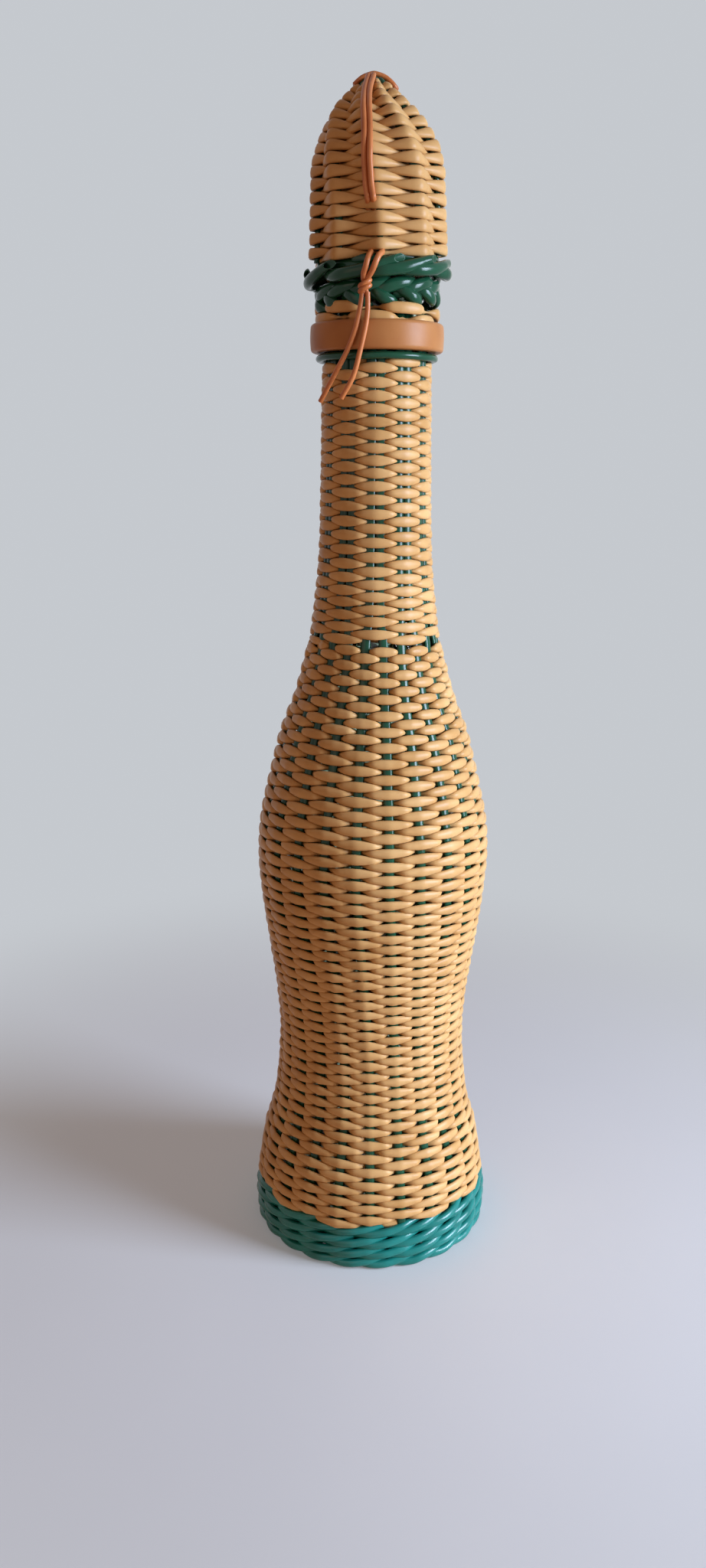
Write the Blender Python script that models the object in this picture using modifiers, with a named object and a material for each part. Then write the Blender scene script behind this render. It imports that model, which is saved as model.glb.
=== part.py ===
"""A glass bottle covered in woven plastic cane, with a woven cap on a cork.

Units are metres and +Z is up. The origin is on the bottle's axis, at the level of the table.
The front, where the cord hangs, looks towards -Y. An angle is in degrees from the front and
grows towards +X.
"""

import math

import bmesh
import bpy
import numpy as np

GAP = 0.0003  # clearance between pieces that touch

# Silhouette of the cover, from the table up: each rise starts where the one before ends
FOOT_BULGE_RISE = 0.0075
FOOT_TOP_RISE = 0.0095
FLARE_RISE = 0.016
TAPER_RISE = 0.017
WAIST_RISE = 0.0265
BELLY_RISE = 0.069
SHOULDER_RISE = 0.0395
SLOPE_RISE = 0.020
NECK_ROOT_RISE = 0.020
NECK_LOW_RISE = 0.030
NECK_RISE = 0.0553
FOOT_EDGE_RADIUS = 0.0432
FOOT_RADIUS = 0.0443
FOOT_TOP_RADIUS = 0.0433
FLARE_RADIUS = 0.0410
TAPER_RADIUS = 0.0365
WAIST_RADIUS = 0.0342
BELLY_RADIUS = 0.0414
SHOULDER_RADIUS = 0.0342
SLOPE_RADIUS = 0.0271
NECK_ROOT_RADIUS = 0.0223
NECK_LOW_RADIUS = 0.0193
NECK_RADIUS = 0.0182

# Cover: strands woven round stakes that stand against the glass
STAKES = 22
STAKE_THICKNESS = 0.0021
STAKE_WIDTH = 0.0035
WEAVE_WALL = 0.0031  # from the crest of a strand to the weave's inner side
WEAVE_DIP = 0.0020  # from the crest of a strand to where it goes behind a stake
GLASS_PLAY = 0.0004  # radial play between a stake and the glass
BODY_ROWS = 92
NECK_ROWS = 42
NECK_GROUPS = STAKES // 2  # on the neck the stakes stand in pairs, one pair at the front
STEP_HEIGHT = 0.0034  # bare stakes between body weave and neck weave
STEP_BELOW_ROOT = 0.0052  # how much of the bare step lies below the root of the neck
STAKE_SPANS = 11  # straight spans of a stake under the cover, shorter where the outline bends
LEAST_BEND = 0.5  # bend of the outline, in radians per metre, that still counts as straight
TWIST = 8.2  # degrees that the stakes turn on the way down the lower body
TWIST_START = 0.142  # height where the turn starts
TWIST_END = 0.064  # height where it is complete

# Height of one row of the weave along the surface, at the heights above the table
ROW_HEIGHTS = (
    (0.020, 0.0020),
    (0.038, 0.0024),
    (0.062, 0.0020),
    (0.095, 0.00195),
    (0.125, 0.00205),
    (0.150, 0.00225),
    (0.175, 0.00245),
    (0.200, 0.0027),
    (0.220, 0.0025),
    (0.227, 0.0020),
    (0.238, 0.0020),
    (0.247, 0.0023),
    (0.268, 0.0023),
    (0.274, 0.0020),
    (0.300, 0.0020),
    (0.306, 0.0022),
)

# Foot
WALE_ROWS = 4
WALE_DIP = 0.0013
WALE_STRANDS = 7  # crests of a row of the wale round the foot, about one for every 3 stakes
WALE_LEAN = 1 / 6  # how far the crests move on, in strands, with each half row
FOOT_LEDGE_WIDTH = 0.0065
FOOT_LEDGE_HEIGHT = 0.0036
MAT_THICKNESS = 0.0024
MAT_RIDGES = 5
MAT_RIDGE_HEIGHT = 0.0005

# Glass bottle
GLASS_WALL = 0.0030
GLASS_FLOOR = 0.0045
PUNT_HEIGHT = 0.006
PUNT_RADIUS = 0.018
LIP_OVERHANG = 0.0014  # how far the lip stands out from the neck of the glass
LIP_HEIGHT = 0.009
MOUTH_DEPTH = 0.0022  # the mouth lies this far under the top of the plaited border

# Neck furniture
RING_TUBE_RADIUS = 0.0013
COLLAR_HEIGHT = 0.0091
COLLAR_WALL = 0.0044
COLLAR_ROUND = 0.0011
COLLAR_ROWS = 2
COLLAR_ROW_HEIGHT = 0.0016
COLLAR_ROW_WALL = 0.0033
BRAID_HEIGHT = 0.0080
BRAID_WALL = 0.0065
BRAID_DIP = 0.0014
BRAID_STRANDS_PER_PAIR = 3  # folds of the plait for every two stakes
BRAID_STEPS = 6  # steps up the plait, half of them on the rising strands
STAKE_SPREAD = 0.0022  # how far the stakes stand out above the neck weave

# Cork
SHANK_LENGTH = 0.025
SHANK_PLAY = 0.0004  # radial play of the shank in the bore at the mouth
SHANK_TAPER = 0.0007
CORK_RIM_ROUND = 0.0015

# Cap
CAP_STAKES = 9
CAP_PHASE = 2.0  # angle of the first cap stake
CAP_STAKE_THICKNESS = 0.0022
CAP_ROWS = 30
CAP_RIM_RADIUS = 0.0226
CAP_RADIUS = 0.0215
CAP_WALL_HEIGHT = 0.0256  # from the cap's border to where the dome starts
DOME_HEIGHT = 0.027
DOME_FULLNESS = 1.6
DOME_ROUND = 0.60
CROWN_HOLE = 0.0045
CAP_SPANS = 7  # straight spans of a cap stake from the border to the crown
CAP_FLUTE = 0.93  # radius halfway between two cap stakes, as a share of the ridge's
BORDER_RADIUS = 0.0243
BORDER_OVERLAP = 0.0003  # rise of one tube over the next, past the tubes' own thickness
BORDER_BENDS = 7
BORDER_TUBE_RADIUS = 0.00152
BORDER_REACH = 74.0  # degrees that one tube of the border spans
BORDER_PHASE = 20.0  # angle at which the first tube of the border ends

# Cord
CORD_RADIUS = 0.0008
CORD_SPACING = 0.0019
CORD_START = 0.0039  # distance of the two strands from the axis where they leave the band
NOTCH_WIDTH = 0.0060
NOTCH_HEIGHT = 0.0145
NOTCH_SIDE = -0.0004  # how far the notch's middle lies to the side
BAND_REACH = 0.0078  # half the width of the band over the crown
KNOT_RADIUS = 0.0021
KNOT_HEIGHT = 0.0046
KNOT_SIDE = -0.0038
KNOT_DROP = 0.0100  # from the cap's weave down to the knot's middle

# Strands on the cap: height over the weave's lower edge, and how far to the side
LEFT_RUN = (
    (0.0000, -0.0023),
    (0.0140, -0.0020),
    (0.0180, -0.0032),
    (0.0253, -0.0040),
    (0.0317, -0.0043),
    (0.0386, -0.0042),
    (0.0465, -0.0038),
    (0.0530, -0.0027),
)
RIGHT_RUN = (
    (0.0000, 0.0014),
    (0.0140, -0.0001),
    (0.0180, -0.0011),
    (0.0253, -0.0018),
    (0.0317, -0.0020),
    (0.0386, -0.0020),
    (0.0465, -0.0017),
    (0.0530, -0.0007),
)
# Free tails: drop below the knot's middle, and how far to the side of it
LEFT_TAIL = (
    (0.0027, -0.0010),
    (0.0050, -0.0012),
    (0.0086, -0.0019),
    (0.0132, -0.0031),
    (0.0189, -0.0055),
    (0.0253, -0.0092),
    (0.0335, -0.0140),
)
RIGHT_TAIL = (
    (0.0027, 0.0009),
    (0.0050, 0.0009),
    (0.0080, 0.0008),
    (0.0115, 0.0003),
    (0.0172, -0.0010),
    (0.0260, -0.0034),
    (0.0327, -0.0072),
)

# Smoothness
TURN_STEPS = 22
RING_SIDES = 6
RUN_BENDS = 12  # bends of the cord from the crown to where it goes under the weave
TURNS_OVER_BORDER = (75, 45, 15, -15, -40)  # where it bends over the cap's border, in degrees
BAND_BENDS = 9
STEP = 0.0001  # length over which a slope is measured


def smooth_curve(stations, at):
    """Height-preserving smooth curve through the stations, without overshoot."""
    x, y = (np.array(side, float) for side in zip(*stations))
    width, rise = np.diff(x), np.diff(y)
    slope = rise / width
    tangent = np.zeros(len(x))
    tangent[0], tangent[-1] = slope[0], slope[-1]
    for i in range(1, len(x) - 1):
        if slope[i - 1] * slope[i] > 0:
            tangent[i] = 2 * slope[i - 1] * slope[i] / (slope[i - 1] + slope[i])
    at = np.clip(np.asarray(at, float), x[0], x[-1])
    i = np.clip(np.searchsorted(x, at) - 1, 0, len(width) - 1)
    t = (at - x[i]) / width[i]
    start = (1 + 2 * t) * (1 - t) ** 2 * y[i] + t * (1 - t) ** 2 * width[i] * tangent[i]
    end = t**2 * (3 - 2 * t) * y[i + 1] - t**2 * (1 - t) * width[i] * tangent[i + 1]
    return start + end


RISES = (
    (0.0, FOOT_EDGE_RADIUS),
    (FOOT_BULGE_RISE, FOOT_RADIUS),
    (FOOT_TOP_RISE, FOOT_TOP_RADIUS),
    (FLARE_RISE, FLARE_RADIUS),
    (TAPER_RISE, TAPER_RADIUS),
    (WAIST_RISE, WAIST_RADIUS),
    (BELLY_RISE, BELLY_RADIUS),
    (SHOULDER_RISE, SHOULDER_RADIUS),
    (SLOPE_RISE, SLOPE_RADIUS),
    (NECK_ROOT_RISE, NECK_ROOT_RADIUS),
    (NECK_LOW_RISE, NECK_LOW_RADIUS),
    (NECK_RISE, NECK_RADIUS),
)
HEIGHTS = tuple(float(h) for h in np.cumsum([rise for rise, _ in RISES]))
SILHOUETTE = tuple(zip(HEIGHTS, (radius for _, radius in RISES)))

# Levels that follow from the sizes above
FOOT_TOP = HEIGHTS[2]
BODY_START = FOOT_TOP + GAP
NECK_ROOT = HEIGHTS[9]
BODY_END = NECK_ROOT - STEP_BELOW_ROOT
NECK_START = BODY_END + STEP_HEIGHT
COVER_TOP = HEIGHTS[-1]
RING_MIDDLE = COVER_TOP + GAP + RING_TUBE_RADIUS
COLLAR_BOTTOM = RING_MIDDLE + RING_TUBE_RADIUS + GAP
COLLAR_TOP = COLLAR_BOTTOM + COLLAR_HEIGHT
ROWS_BOTTOM = COLLAR_TOP + GAP
ROWS_TOP = ROWS_BOTTOM + COLLAR_ROWS * COLLAR_ROW_HEIGHT
BRAID_BOTTOM = ROWS_TOP + GAP
BRAID_TOP = BRAID_BOTTOM + BRAID_HEIGHT
MOUTH = BRAID_TOP - MOUTH_DEPTH
CAP_BOTTOM = BRAID_TOP + GAP
BORDER_LIFT = 2 * BORDER_TUBE_RADIUS + BORDER_OVERLAP + GAP  # from one tube's middle to the next one's
BORDER_TOP = CAP_BOTTOM + BORDER_LIFT + 2 * BORDER_TUBE_RADIUS
CAP_START = BORDER_TOP + GAP
DOME_START = CAP_START + CAP_WALL_HEIGHT
DOME_TOP = DOME_START + DOME_HEIGHT
GLASS_DEPTH = WEAVE_WALL + GAP + STAKE_THICKNESS + GLASS_PLAY
NECK_GLASS_RADIUS = NECK_RADIUS - GLASS_DEPTH
HALF_STAKE = 180 / STAKES  # degrees from the front to the first stake
BORE_RADIUS = NECK_GLASS_RADIUS - GLASS_WALL
LIP_RADIUS = NECK_GLASS_RADIUS + LIP_OVERHANG
STAKE_OUTSIDE = NECK_RADIUS - WEAVE_WALL - GAP + STAKE_SPREAD  # over the stakes above the weave
ABOVE_NECK_BORE = STAKE_OUTSIDE + GAP
COLLAR_RADIUS = ABOVE_NECK_BORE + COLLAR_WALL
COLLAR_ROW_RADIUS = ABOVE_NECK_BORE + COLLAR_ROW_WALL
BRAID_RADIUS = LIP_RADIUS + GAP + BRAID_WALL
CAP_BORDER_MIDDLE = BORDER_RADIUS - BORDER_TUBE_RADIUS - BORDER_LIFT / 2
CAP_BORDER_HEIGHT = CAP_BOTTOM + BORDER_TUBE_RADIUS + BORDER_LIFT / 2
KNOT_LEVEL = CAP_START - KNOT_DROP
KNOT_REACH = BRAID_RADIUS + GAP + KNOT_RADIUS  # the knot lies against the plaited border


def cover_radius(z):
    return smooth_curve(SILHOUETTE, z)


def cover_levels():
    """Heights at which the stakes, the glass and the weave's inner side all bend."""
    z = np.linspace(FOOT_LEDGE_HEIGHT + GAP, COVER_TOP, 300)
    bend = np.abs(np.gradient(np.gradient(cover_radius(z), z), z))
    count = np.concatenate([[0], np.cumsum(np.sqrt(bend[1:] + LEAST_BEND))])
    return np.interp(np.linspace(0, count[-1], STAKE_SPANS + 1), count, z)


LEVELS = cover_levels()


def cover_line(z, depth):
    """Radius at a depth under the cover's silhouette, on the straight spans between the levels."""
    return float(np.interp(z, LEVELS, cover_radius(LEVELS))) - depth


def line_between(low, high, depth):
    """Points (radius, height) of a surface under the cover, from low to high."""
    heights = [low, *(z for z in LEVELS if low + GAP < z < high - GAP), high]
    return [(cover_line(z, depth), z) for z in heights]


def twist(z):
    """How far the cover is turned at a height, in degrees, even on each straight span."""
    turned_by = TWIST * np.clip((TWIST_START - LEVELS) / (TWIST_START - TWIST_END), 0, 1)
    return float(np.interp(z, LEVELS, turned_by))


def place(radius, angle, z):
    """Point at an angle in degrees from the front."""
    turn = math.radians(angle)
    return (radius * math.sin(turn), -radius * math.cos(turn), z)


def material(name, colour, roughness, metallic=0.0):
    made = bpy.data.materials.new(name)
    made.use_nodes = True
    made.diffuse_color = (*colour, 1.0)
    shader = made.node_tree.nodes["Principled BSDF"]
    shader.inputs["Base Color"].default_value = (*colour, 1.0)
    shader.inputs["Roughness"].default_value = roughness
    shader.inputs["Metallic"].default_value = metallic
    return made


def add_object(name, data, look):
    made = bpy.data.objects.new(name, data)
    parts.objects.link(made)
    data.materials.append(look)
    return made


def turned(name, outline, look, closed=False, steps=TURN_STEPS):
    """Turned piece: the outline (radius, height) runs down the outer side."""
    mesh = bpy.data.meshes.new(name)
    edges = [(i, i + 1) for i in range(len(outline) - 1)]
    if closed:
        edges.append((len(outline) - 1, 0))
    mesh.from_pydata([(r, 0.0, z) for r, z in outline], edges, [])
    made = add_object(name, mesh, look)
    screw = made.modifiers.new("turn", "SCREW")
    screw.axis = "Z"
    screw.steps = steps
    screw.render_steps = steps
    screw.use_merge_vertices = True
    screw.merge_threshold = 0.00001
    screw.use_normal_calculate = False
    return made


def tube(name, points, radius, look, sides_level=1):
    """Round tube through the points, with closed ends."""
    curve = bpy.data.curves.new(name, "CURVE")
    curve.dimensions = "3D"
    curve.bevel_depth = radius
    curve.bevel_resolution = sides_level
    curve.use_fill_caps = True
    spline = curve.splines.new("POLY")
    spline.points.add(len(points) - 1)
    for target, point in zip(spline.points, points):
        target.co = (*point, 1.0)
    return add_object(name, curve, look)


def relief_shell(name, look, columns, rows, point_of, lining, turn=0.0):
    """Shell with a relief on its outer side, turned as the stakes are.

    point_of(column, row) gives the radius, the height and how deep the point lies under the
    crests. The lining is a list of (radius, height) from the top down. Each face of the relief
    folds between its two deeper corners, so that a crest stands alone as a strand does.
    """
    bm = bmesh.new()
    angles = [turn + 360 * i / columns for i in range(columns)]
    relief = [[point_of(i, j) for i in range(columns)] for j in range(rows)]
    circles = [[(r, z) for r, z, _ in row] for row in relief]
    circles += [[point] * columns for point in lining]
    rings = [
        [bm.verts.new(place(r, a + twist(z), z)) for (r, z), a in zip(circle, angles)]
        for circle in circles
    ]
    for j, (low, high) in enumerate(zip(rings, rings[1:] + rings[:1])):
        for i in range(columns):
            k = (i + 1) % columns
            corners = [low[i], low[k], high[k], high[i]]
            if j < rows - 1:
                rising = relief[j][i][2] + relief[j + 1][k][2]
                falling = relief[j][k][2] + relief[j + 1][i][2]
                if falling > rising:
                    corners = [low[k], high[k], high[i], low[i]]
            bm.faces.new((corners[0], corners[1], corners[2]))
            bm.faces.new((corners[0], corners[2], corners[3]))
    mesh = bpy.data.meshes.new(name)
    bm.to_mesh(mesh)
    bm.free()
    return add_object(name, mesh, look)


def row_levels(low, high, rows, radius_at):
    """Heights of the rows, set by how the row height changes up the cover."""
    z = np.linspace(low, high, 400)
    length = np.hypot(np.diff(z), np.diff(radius_at(z)))
    middle = (z[1:] + z[:-1]) / 2
    places, sizes = zip(*ROW_HEIGHTS)
    count = np.concatenate([[0], np.cumsum(length / np.interp(middle, places, sizes))])
    return list(np.interp(np.linspace(0, count[-1], rows + 1), count, z))


def single(column):
    return column


def paired(column):
    """Number of the pair that a stake belongs to, counted round from the back."""
    return ((column + 1) // 2 + NECK_GROUPS // 2) % NECK_GROUPS


def woven_cover(name, low, high, rows, group_of):
    """Plain weave over the stakes, each taken alone or in pairs."""
    levels = row_levels(low, high, rows, cover_radius)

    def point_of(column, row):
        depth = WEAVE_DIP * ((group_of(column) + row) % 2)
        return float(cover_radius(levels[row])) - depth, levels[row], depth

    lining = line_between(low, high, WEAVE_WALL)[::-1]
    return relief_shell(name, CREAM, STAKES, len(levels), point_of, lining, HALF_STAKE)


def foot():
    """Three-rod wale round the base, with the ledge that the stakes and the glass stand on."""
    levels = list(np.linspace(0, FOOT_TOP, 2 * WALE_ROWS + 1))

    def point_of(column, row):
        phase = (column * WALE_STRANDS / STAKES + row * WALE_LEAN) % 1
        crest = math.sin(math.pi * phase) if row % 2 else 0
        depth = WALE_DIP * (1 - crest)
        return float(cover_radius(levels[row])) - depth, levels[row], depth

    ledge = FOOT_EDGE_RADIUS - FOOT_LEDGE_WIDTH
    inner = line_between(FOOT_LEDGE_HEIGHT + GAP, FOOT_TOP, WEAVE_WALL)[::-1]
    inner[-1] = (inner[-1][0], FOOT_LEDGE_HEIGHT)
    lining = [*inner, (ledge, FOOT_LEDGE_HEIGHT), (ledge, 0)]
    return relief_shell("foot_wale", TEAL, STAKES, len(levels), point_of, lining, HALF_STAKE)


def base_mat():
    """Round mat inside the foot's ledge, with rings of twining on its underside."""
    reach = FOOT_EDGE_RADIUS - FOOT_LEDGE_WIDTH - GAP
    top = FOOT_LEDGE_HEIGHT
    bottom = top - MAT_THICKNESS
    step = reach / (2 * MAT_RIDGES)
    rings = [(i * step, bottom + MAT_RIDGE_HEIGHT * (i % 2)) for i in range(2 * MAT_RIDGES + 1)]
    mat = turned("base_mat", [(0, top), (reach, top)] + rings[::-1], TEAL)
    mat.rotation_euler = (0, 0, math.radians(twist(0)))


def stake_path(low, high):
    """Radius and height of a stake, standing out a little where it leaves the neck weave."""
    depth = WEAVE_WALL + GAP + STAKE_THICKNESS / 2
    points = line_between(low, COVER_TOP, depth)
    radius = points[-1][0] + STAKE_SPREAD
    points[-1] = (points[-1][0], COVER_TOP + GAP)
    points += [(radius, COVER_TOP + GAP + 2 * STAKE_SPREAD), (radius, high)]
    return points


def stakes():
    """Stakes, made round along the X axis and then flattened, so Y is drawn closer before."""
    flatten = STAKE_WIDTH / STAKE_THICKNESS
    points = []
    for r, z in stake_path(FOOT_LEDGE_HEIGHT + GAP, ROWS_TOP):
        turn = math.radians(twist(z))
        points.append((r * math.cos(turn), r * math.sin(turn) / flatten, z))
    for number in range(STAKES):
        stake = tube(f"stake_{number + 1:02d}", points, STAKE_THICKNESS / 2, GREEN, 0)
        stake.scale = (1, flatten, 1)
        stake.rotation_euler = (0, 0, math.radians(360 * number / STAKES + HALF_STAKE - 90))


def glass_bottle():
    """Hollow bottle with a punt, a waist and a lip."""
    floor = FOOT_LEDGE_HEIGHT + GAP
    outer = line_between(floor, COVER_TOP, GLASS_DEPTH)
    lip_bottom = MOUTH - LIP_HEIGHT
    bead = (LIP_RADIUS - NECK_GLASS_RADIUS) / 2
    heel = (outer[0][0] - GLASS_WALL, floor)
    outer[0] = (outer[0][0], floor + GLASS_WALL)
    foot_ring = [(PUNT_RADIUS, floor), (0, floor + PUNT_HEIGHT)]
    inner = line_between(floor + GLASS_FLOOR, COVER_TOP, GLASS_DEPTH + GLASS_WALL)
    inner[0] = (inner[0][0] - GLASS_WALL, inner[0][1])
    inside = [(0, floor + PUNT_HEIGHT + GLASS_FLOOR), (PUNT_RADIUS, floor + GLASS_FLOOR)]
    lip = [
        (BORE_RADIUS, MOUTH - bead),
        (BORE_RADIUS + bead, MOUTH),
        (LIP_RADIUS - bead, MOUTH),
        (LIP_RADIUS, MOUTH - bead),
        (LIP_RADIUS, lip_bottom + bead),
        (NECK_GLASS_RADIUS, lip_bottom),
    ]
    outline = inside + inner + lip + outer[::-1] + [heel] + foot_ring
    return turned("glass_bottle", outline, GLASS)


def neck_ring():
    """Green tube wound once round the stakes under the collar."""
    middle = ABOVE_NECK_BORE + RING_TUBE_RADIUS
    turns = [2 * math.pi * i / RING_SIDES for i in range(RING_SIDES)]
    outline = [
        (middle + RING_TUBE_RADIUS * math.cos(turn), RING_MIDDLE - RING_TUBE_RADIUS * math.sin(turn))
        for turn in turns
    ]
    return turned("neck_ring", outline, GREEN, closed=True)


def collar():
    """Brown ring with rounded edges."""
    on_arc = COLLAR_ROUND * (1 - math.sqrt(0.5))
    outline = [
        (ABOVE_NECK_BORE, COLLAR_TOP),
        (COLLAR_RADIUS - COLLAR_ROUND, COLLAR_TOP),
        (COLLAR_RADIUS - on_arc, COLLAR_TOP - on_arc),
        (COLLAR_RADIUS, COLLAR_TOP - COLLAR_ROUND),
        (COLLAR_RADIUS, COLLAR_BOTTOM + COLLAR_ROUND),
        (COLLAR_RADIUS - on_arc, COLLAR_BOTTOM + on_arc),
        (COLLAR_RADIUS - COLLAR_ROUND, COLLAR_BOTTOM),
        (ABOVE_NECK_BORE, COLLAR_BOTTOM),
    ]
    return turned("collar_ring", outline, BROWN, closed=True)


def collar_rows():
    """The cream rows that show between the collar and the plaited border."""
    levels = list(np.linspace(ROWS_BOTTOM, ROWS_TOP, COLLAR_ROWS + 1))

    def point_of(column, row):
        depth = WEAVE_DIP * ((paired(column) + row) % 2)
        return COLLAR_ROW_RADIUS - depth, levels[row], depth

    lining = [(ABOVE_NECK_BORE, ROWS_TOP), (ABOVE_NECK_BORE, ROWS_BOTTOM)]
    return relief_shell("collar_rows", CREAM, STAKES, len(levels), point_of, lining, HALF_STAKE)


def mouth_braid():
    """Plait of stake ends round the mouth: the upper strands rise and the lower ones fall."""
    columns = STAKES // 2 * BRAID_STRANDS_PER_PAIR
    levels = list(np.linspace(BRAID_BOTTOM, BRAID_TOP, BRAID_STEPS + 1))

    def point_of(column, row):
        from_middle = abs(row - BRAID_STEPS / 2)
        crest = abs(2 * ((column - from_middle) / BRAID_STRANDS_PER_PAIR % 1) - 1)
        edge = (2 * from_middle / BRAID_STEPS) ** 2
        flattened = crest * (1 - edge / 2)
        depth = BRAID_DIP * (1 - flattened + edge / 2)
        return BRAID_RADIUS - depth, levels[row], depth

    inside = LIP_RADIUS + GAP
    lining = [(inside, BRAID_TOP), (inside, BRAID_BOTTOM)]
    return relief_shell("mouth_braid", GREEN, columns, len(levels), point_of, lining)


def cap_radius(z):
    """Radius of the cap over its stakes."""
    z = np.asarray(z, float)
    wall = CAP_RADIUS + (CAP_RIM_RADIUS - CAP_RADIUS) * np.clip((DOME_START - z) / CAP_WALL_HEIGHT, 0, 1)
    t = np.clip((z - DOME_START) / DOME_HEIGHT, 0, 1)
    return wall * (1 - t**DOME_FULLNESS) ** DOME_ROUND


def cap_height(radius):
    """Height of the dome at a radius."""
    t = (1 - (radius / CAP_RADIUS) ** (1 / DOME_ROUND)) ** (1 / DOME_FULLNESS)
    return DOME_START + DOME_HEIGHT * t


def cap_levels(low, high, rows):
    """Heights of the cap's rows, evenly spaced along its surface."""
    z = np.linspace(low, high, 600)
    length = np.concatenate([[0], np.cumsum(np.hypot(np.diff(z), np.diff(cap_radius(z))))])
    return list(np.interp(np.linspace(0, length[-1], rows + 1), length, z))


def cap_slope(z):
    """Change of the cap's radius with height."""
    return float(cap_radius(z + STEP) - cap_radius(z - STEP)) / (2 * STEP)


def under_dome(depth, low, high, count):
    """Points (radius, height) at a depth under the cap, square to its surface."""
    points = []
    for z in cap_levels(low, high, count):
        slope = cap_slope(z)
        size = math.hypot(1, slope)
        points.append((float(cap_radius(z)) - depth / size, z + depth * slope / size))
    return points


def cap_weave():
    """Plain weave over the cap's stakes, with the notch where the cord runs under it."""
    top = float(cap_height(CROWN_HOLE))
    levels = cap_levels(CAP_START, top, CAP_ROWS)

    def point_of(column, row):
        radius = float(cap_radius(levels[row]))
        if column % 2:
            depth = radius * (1 - CAP_FLUTE)
        else:
            depth = WEAVE_DIP * ((column // 2 + row) % 2) * radius / CAP_RIM_RADIUS
        return radius - depth, levels[row], depth

    lining = under_dome(WEAVE_WALL, CAP_START, top, CAP_SPANS)[::-1]
    lining[-1] = (lining[-1][0], CAP_START)
    shell = relief_shell(
        "cap_weave", CREAM, 2 * CAP_STAKES, len(levels), point_of, lining, CAP_PHASE
    )
    notch_depth = 3 * WEAVE_WALL
    notch = box_cutter(
        "notch_cutter",
        (NOTCH_SIDE, -CAP_RIM_RADIUS, CAP_START + NOTCH_HEIGHT / 2),
        (NOTCH_WIDTH, notch_depth, NOTCH_HEIGHT + 2 * GAP),
    )
    cut = shell.modifiers.new("notch", "BOOLEAN")
    cut.operation = "DIFFERENCE"
    cut.solver = "EXACT"
    cut.object = notch
    return shell


def box_cutter(name, middle, size):
    mesh = bpy.data.meshes.new(name)
    bm = bmesh.new()
    bmesh.ops.create_cube(bm, size=1)
    bmesh.ops.scale(bm, vec=size, verts=bm.verts)
    bm.to_mesh(mesh)
    bm.free()
    cutter = bpy.data.objects.new(name, mesh)
    cutter.location = middle
    cutter.hide_render = True
    cutter.display_type = "WIRE"
    cutters.objects.link(cutter)
    return cutter


def cap_stakes():
    """Stakes between the cork and the weave, from the border to the crown."""
    depth = WEAVE_WALL + GAP + CAP_STAKE_THICKNESS / 2
    path = under_dome(depth, CAP_START, float(cap_height(CROWN_HOLE)), CAP_SPANS)
    path[0] = (path[0][0], CAP_START)
    clear = CAP_STAKES * (CAP_STAKE_THICKNESS + GAP) / (2 * math.pi)
    path = [(r, z) for r, z in path if r > clear]
    for number in range(CAP_STAKES):
        points = [place(r, CAP_PHASE + 360 * number / CAP_STAKES, z) for r, z in path]
        tube(f"cap_stake_{number + 1}", points, CAP_STAKE_THICKNESS / 2, GREEN, 0)


def cork():
    """Cork with a domed core under the cap and a tapered shank in the bore."""
    depth = WEAVE_WALL + GAP + CAP_STAKE_THICKNESS + GAP
    dome = under_dome(depth, CAP_START, float(cap_height(CROWN_HOLE)), CAP_SPANS)
    dome[0] = (dome[0][0], CAP_START)
    rim = min(dome[0][0], BORDER_RADIUS - 2 * BORDER_TUBE_RADIUS - BORDER_LIFT - GAP)
    shank = BORE_RADIUS - SHANK_PLAY
    tip = shank - SHANK_TAPER
    low = MOUTH - SHANK_LENGTH
    outline = [(0, dome[-1][1])] + dome[::-1]
    outline += [
        (rim, CAP_START - GAP),
        (rim, CAP_BOTTOM + CORK_RIM_ROUND),
        (rim - CORK_RIM_ROUND, CAP_BOTTOM),
        (shank, CAP_BOTTOM),
        (shank, MOUTH),
        (tip, low + SHANK_TAPER),
        (tip - SHANK_TAPER, low),
        (0, low),
    ]
    return turned("cork_stopper", outline, CORK)


def cap_border():
    """Ends of the cap's stakes, rolled one over the next round the rim."""
    per_stake = 360 / CAP_STAKES
    for number in range(CAP_STAKES):
        points = []
        for i in range(BORDER_BENDS + 1):
            back = BORDER_REACH * (1 - i / BORDER_BENDS)
            roll = math.radians(90 - 180 * back / per_stake)
            radius = CAP_BORDER_MIDDLE + BORDER_LIFT / 2 * math.cos(roll)
            z = CAP_BORDER_HEIGHT + BORDER_LIFT / 2 * math.sin(roll)
            points.append(place(radius, BORDER_PHASE + per_stake * number - back, z))
        tube(f"cap_border_{number + 1}", points, BORDER_TUBE_RADIUS, GREEN, 1)


def on_cap(side, z, lift):
    """Point over the cap's weave at a distance to the side, lifted square to its surface."""
    radius = float(cap_radius(z))
    slope = cap_slope(z)
    size = math.hypot(1, slope)
    angle = math.asin(max(-1, min(1, side / radius)))
    from_ridge = abs(angle - math.radians(CAP_PHASE))
    half = math.pi / CAP_STAKES
    flat = CAP_FLUTE * math.sin(half) / (
        CAP_FLUTE * math.sin(half - from_ridge) + math.sin(from_ridge)
    )
    out = radius * flat + lift / size
    return (side, -math.sqrt(max(0, out**2 - side**2)), z - lift * slope / size)


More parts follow.
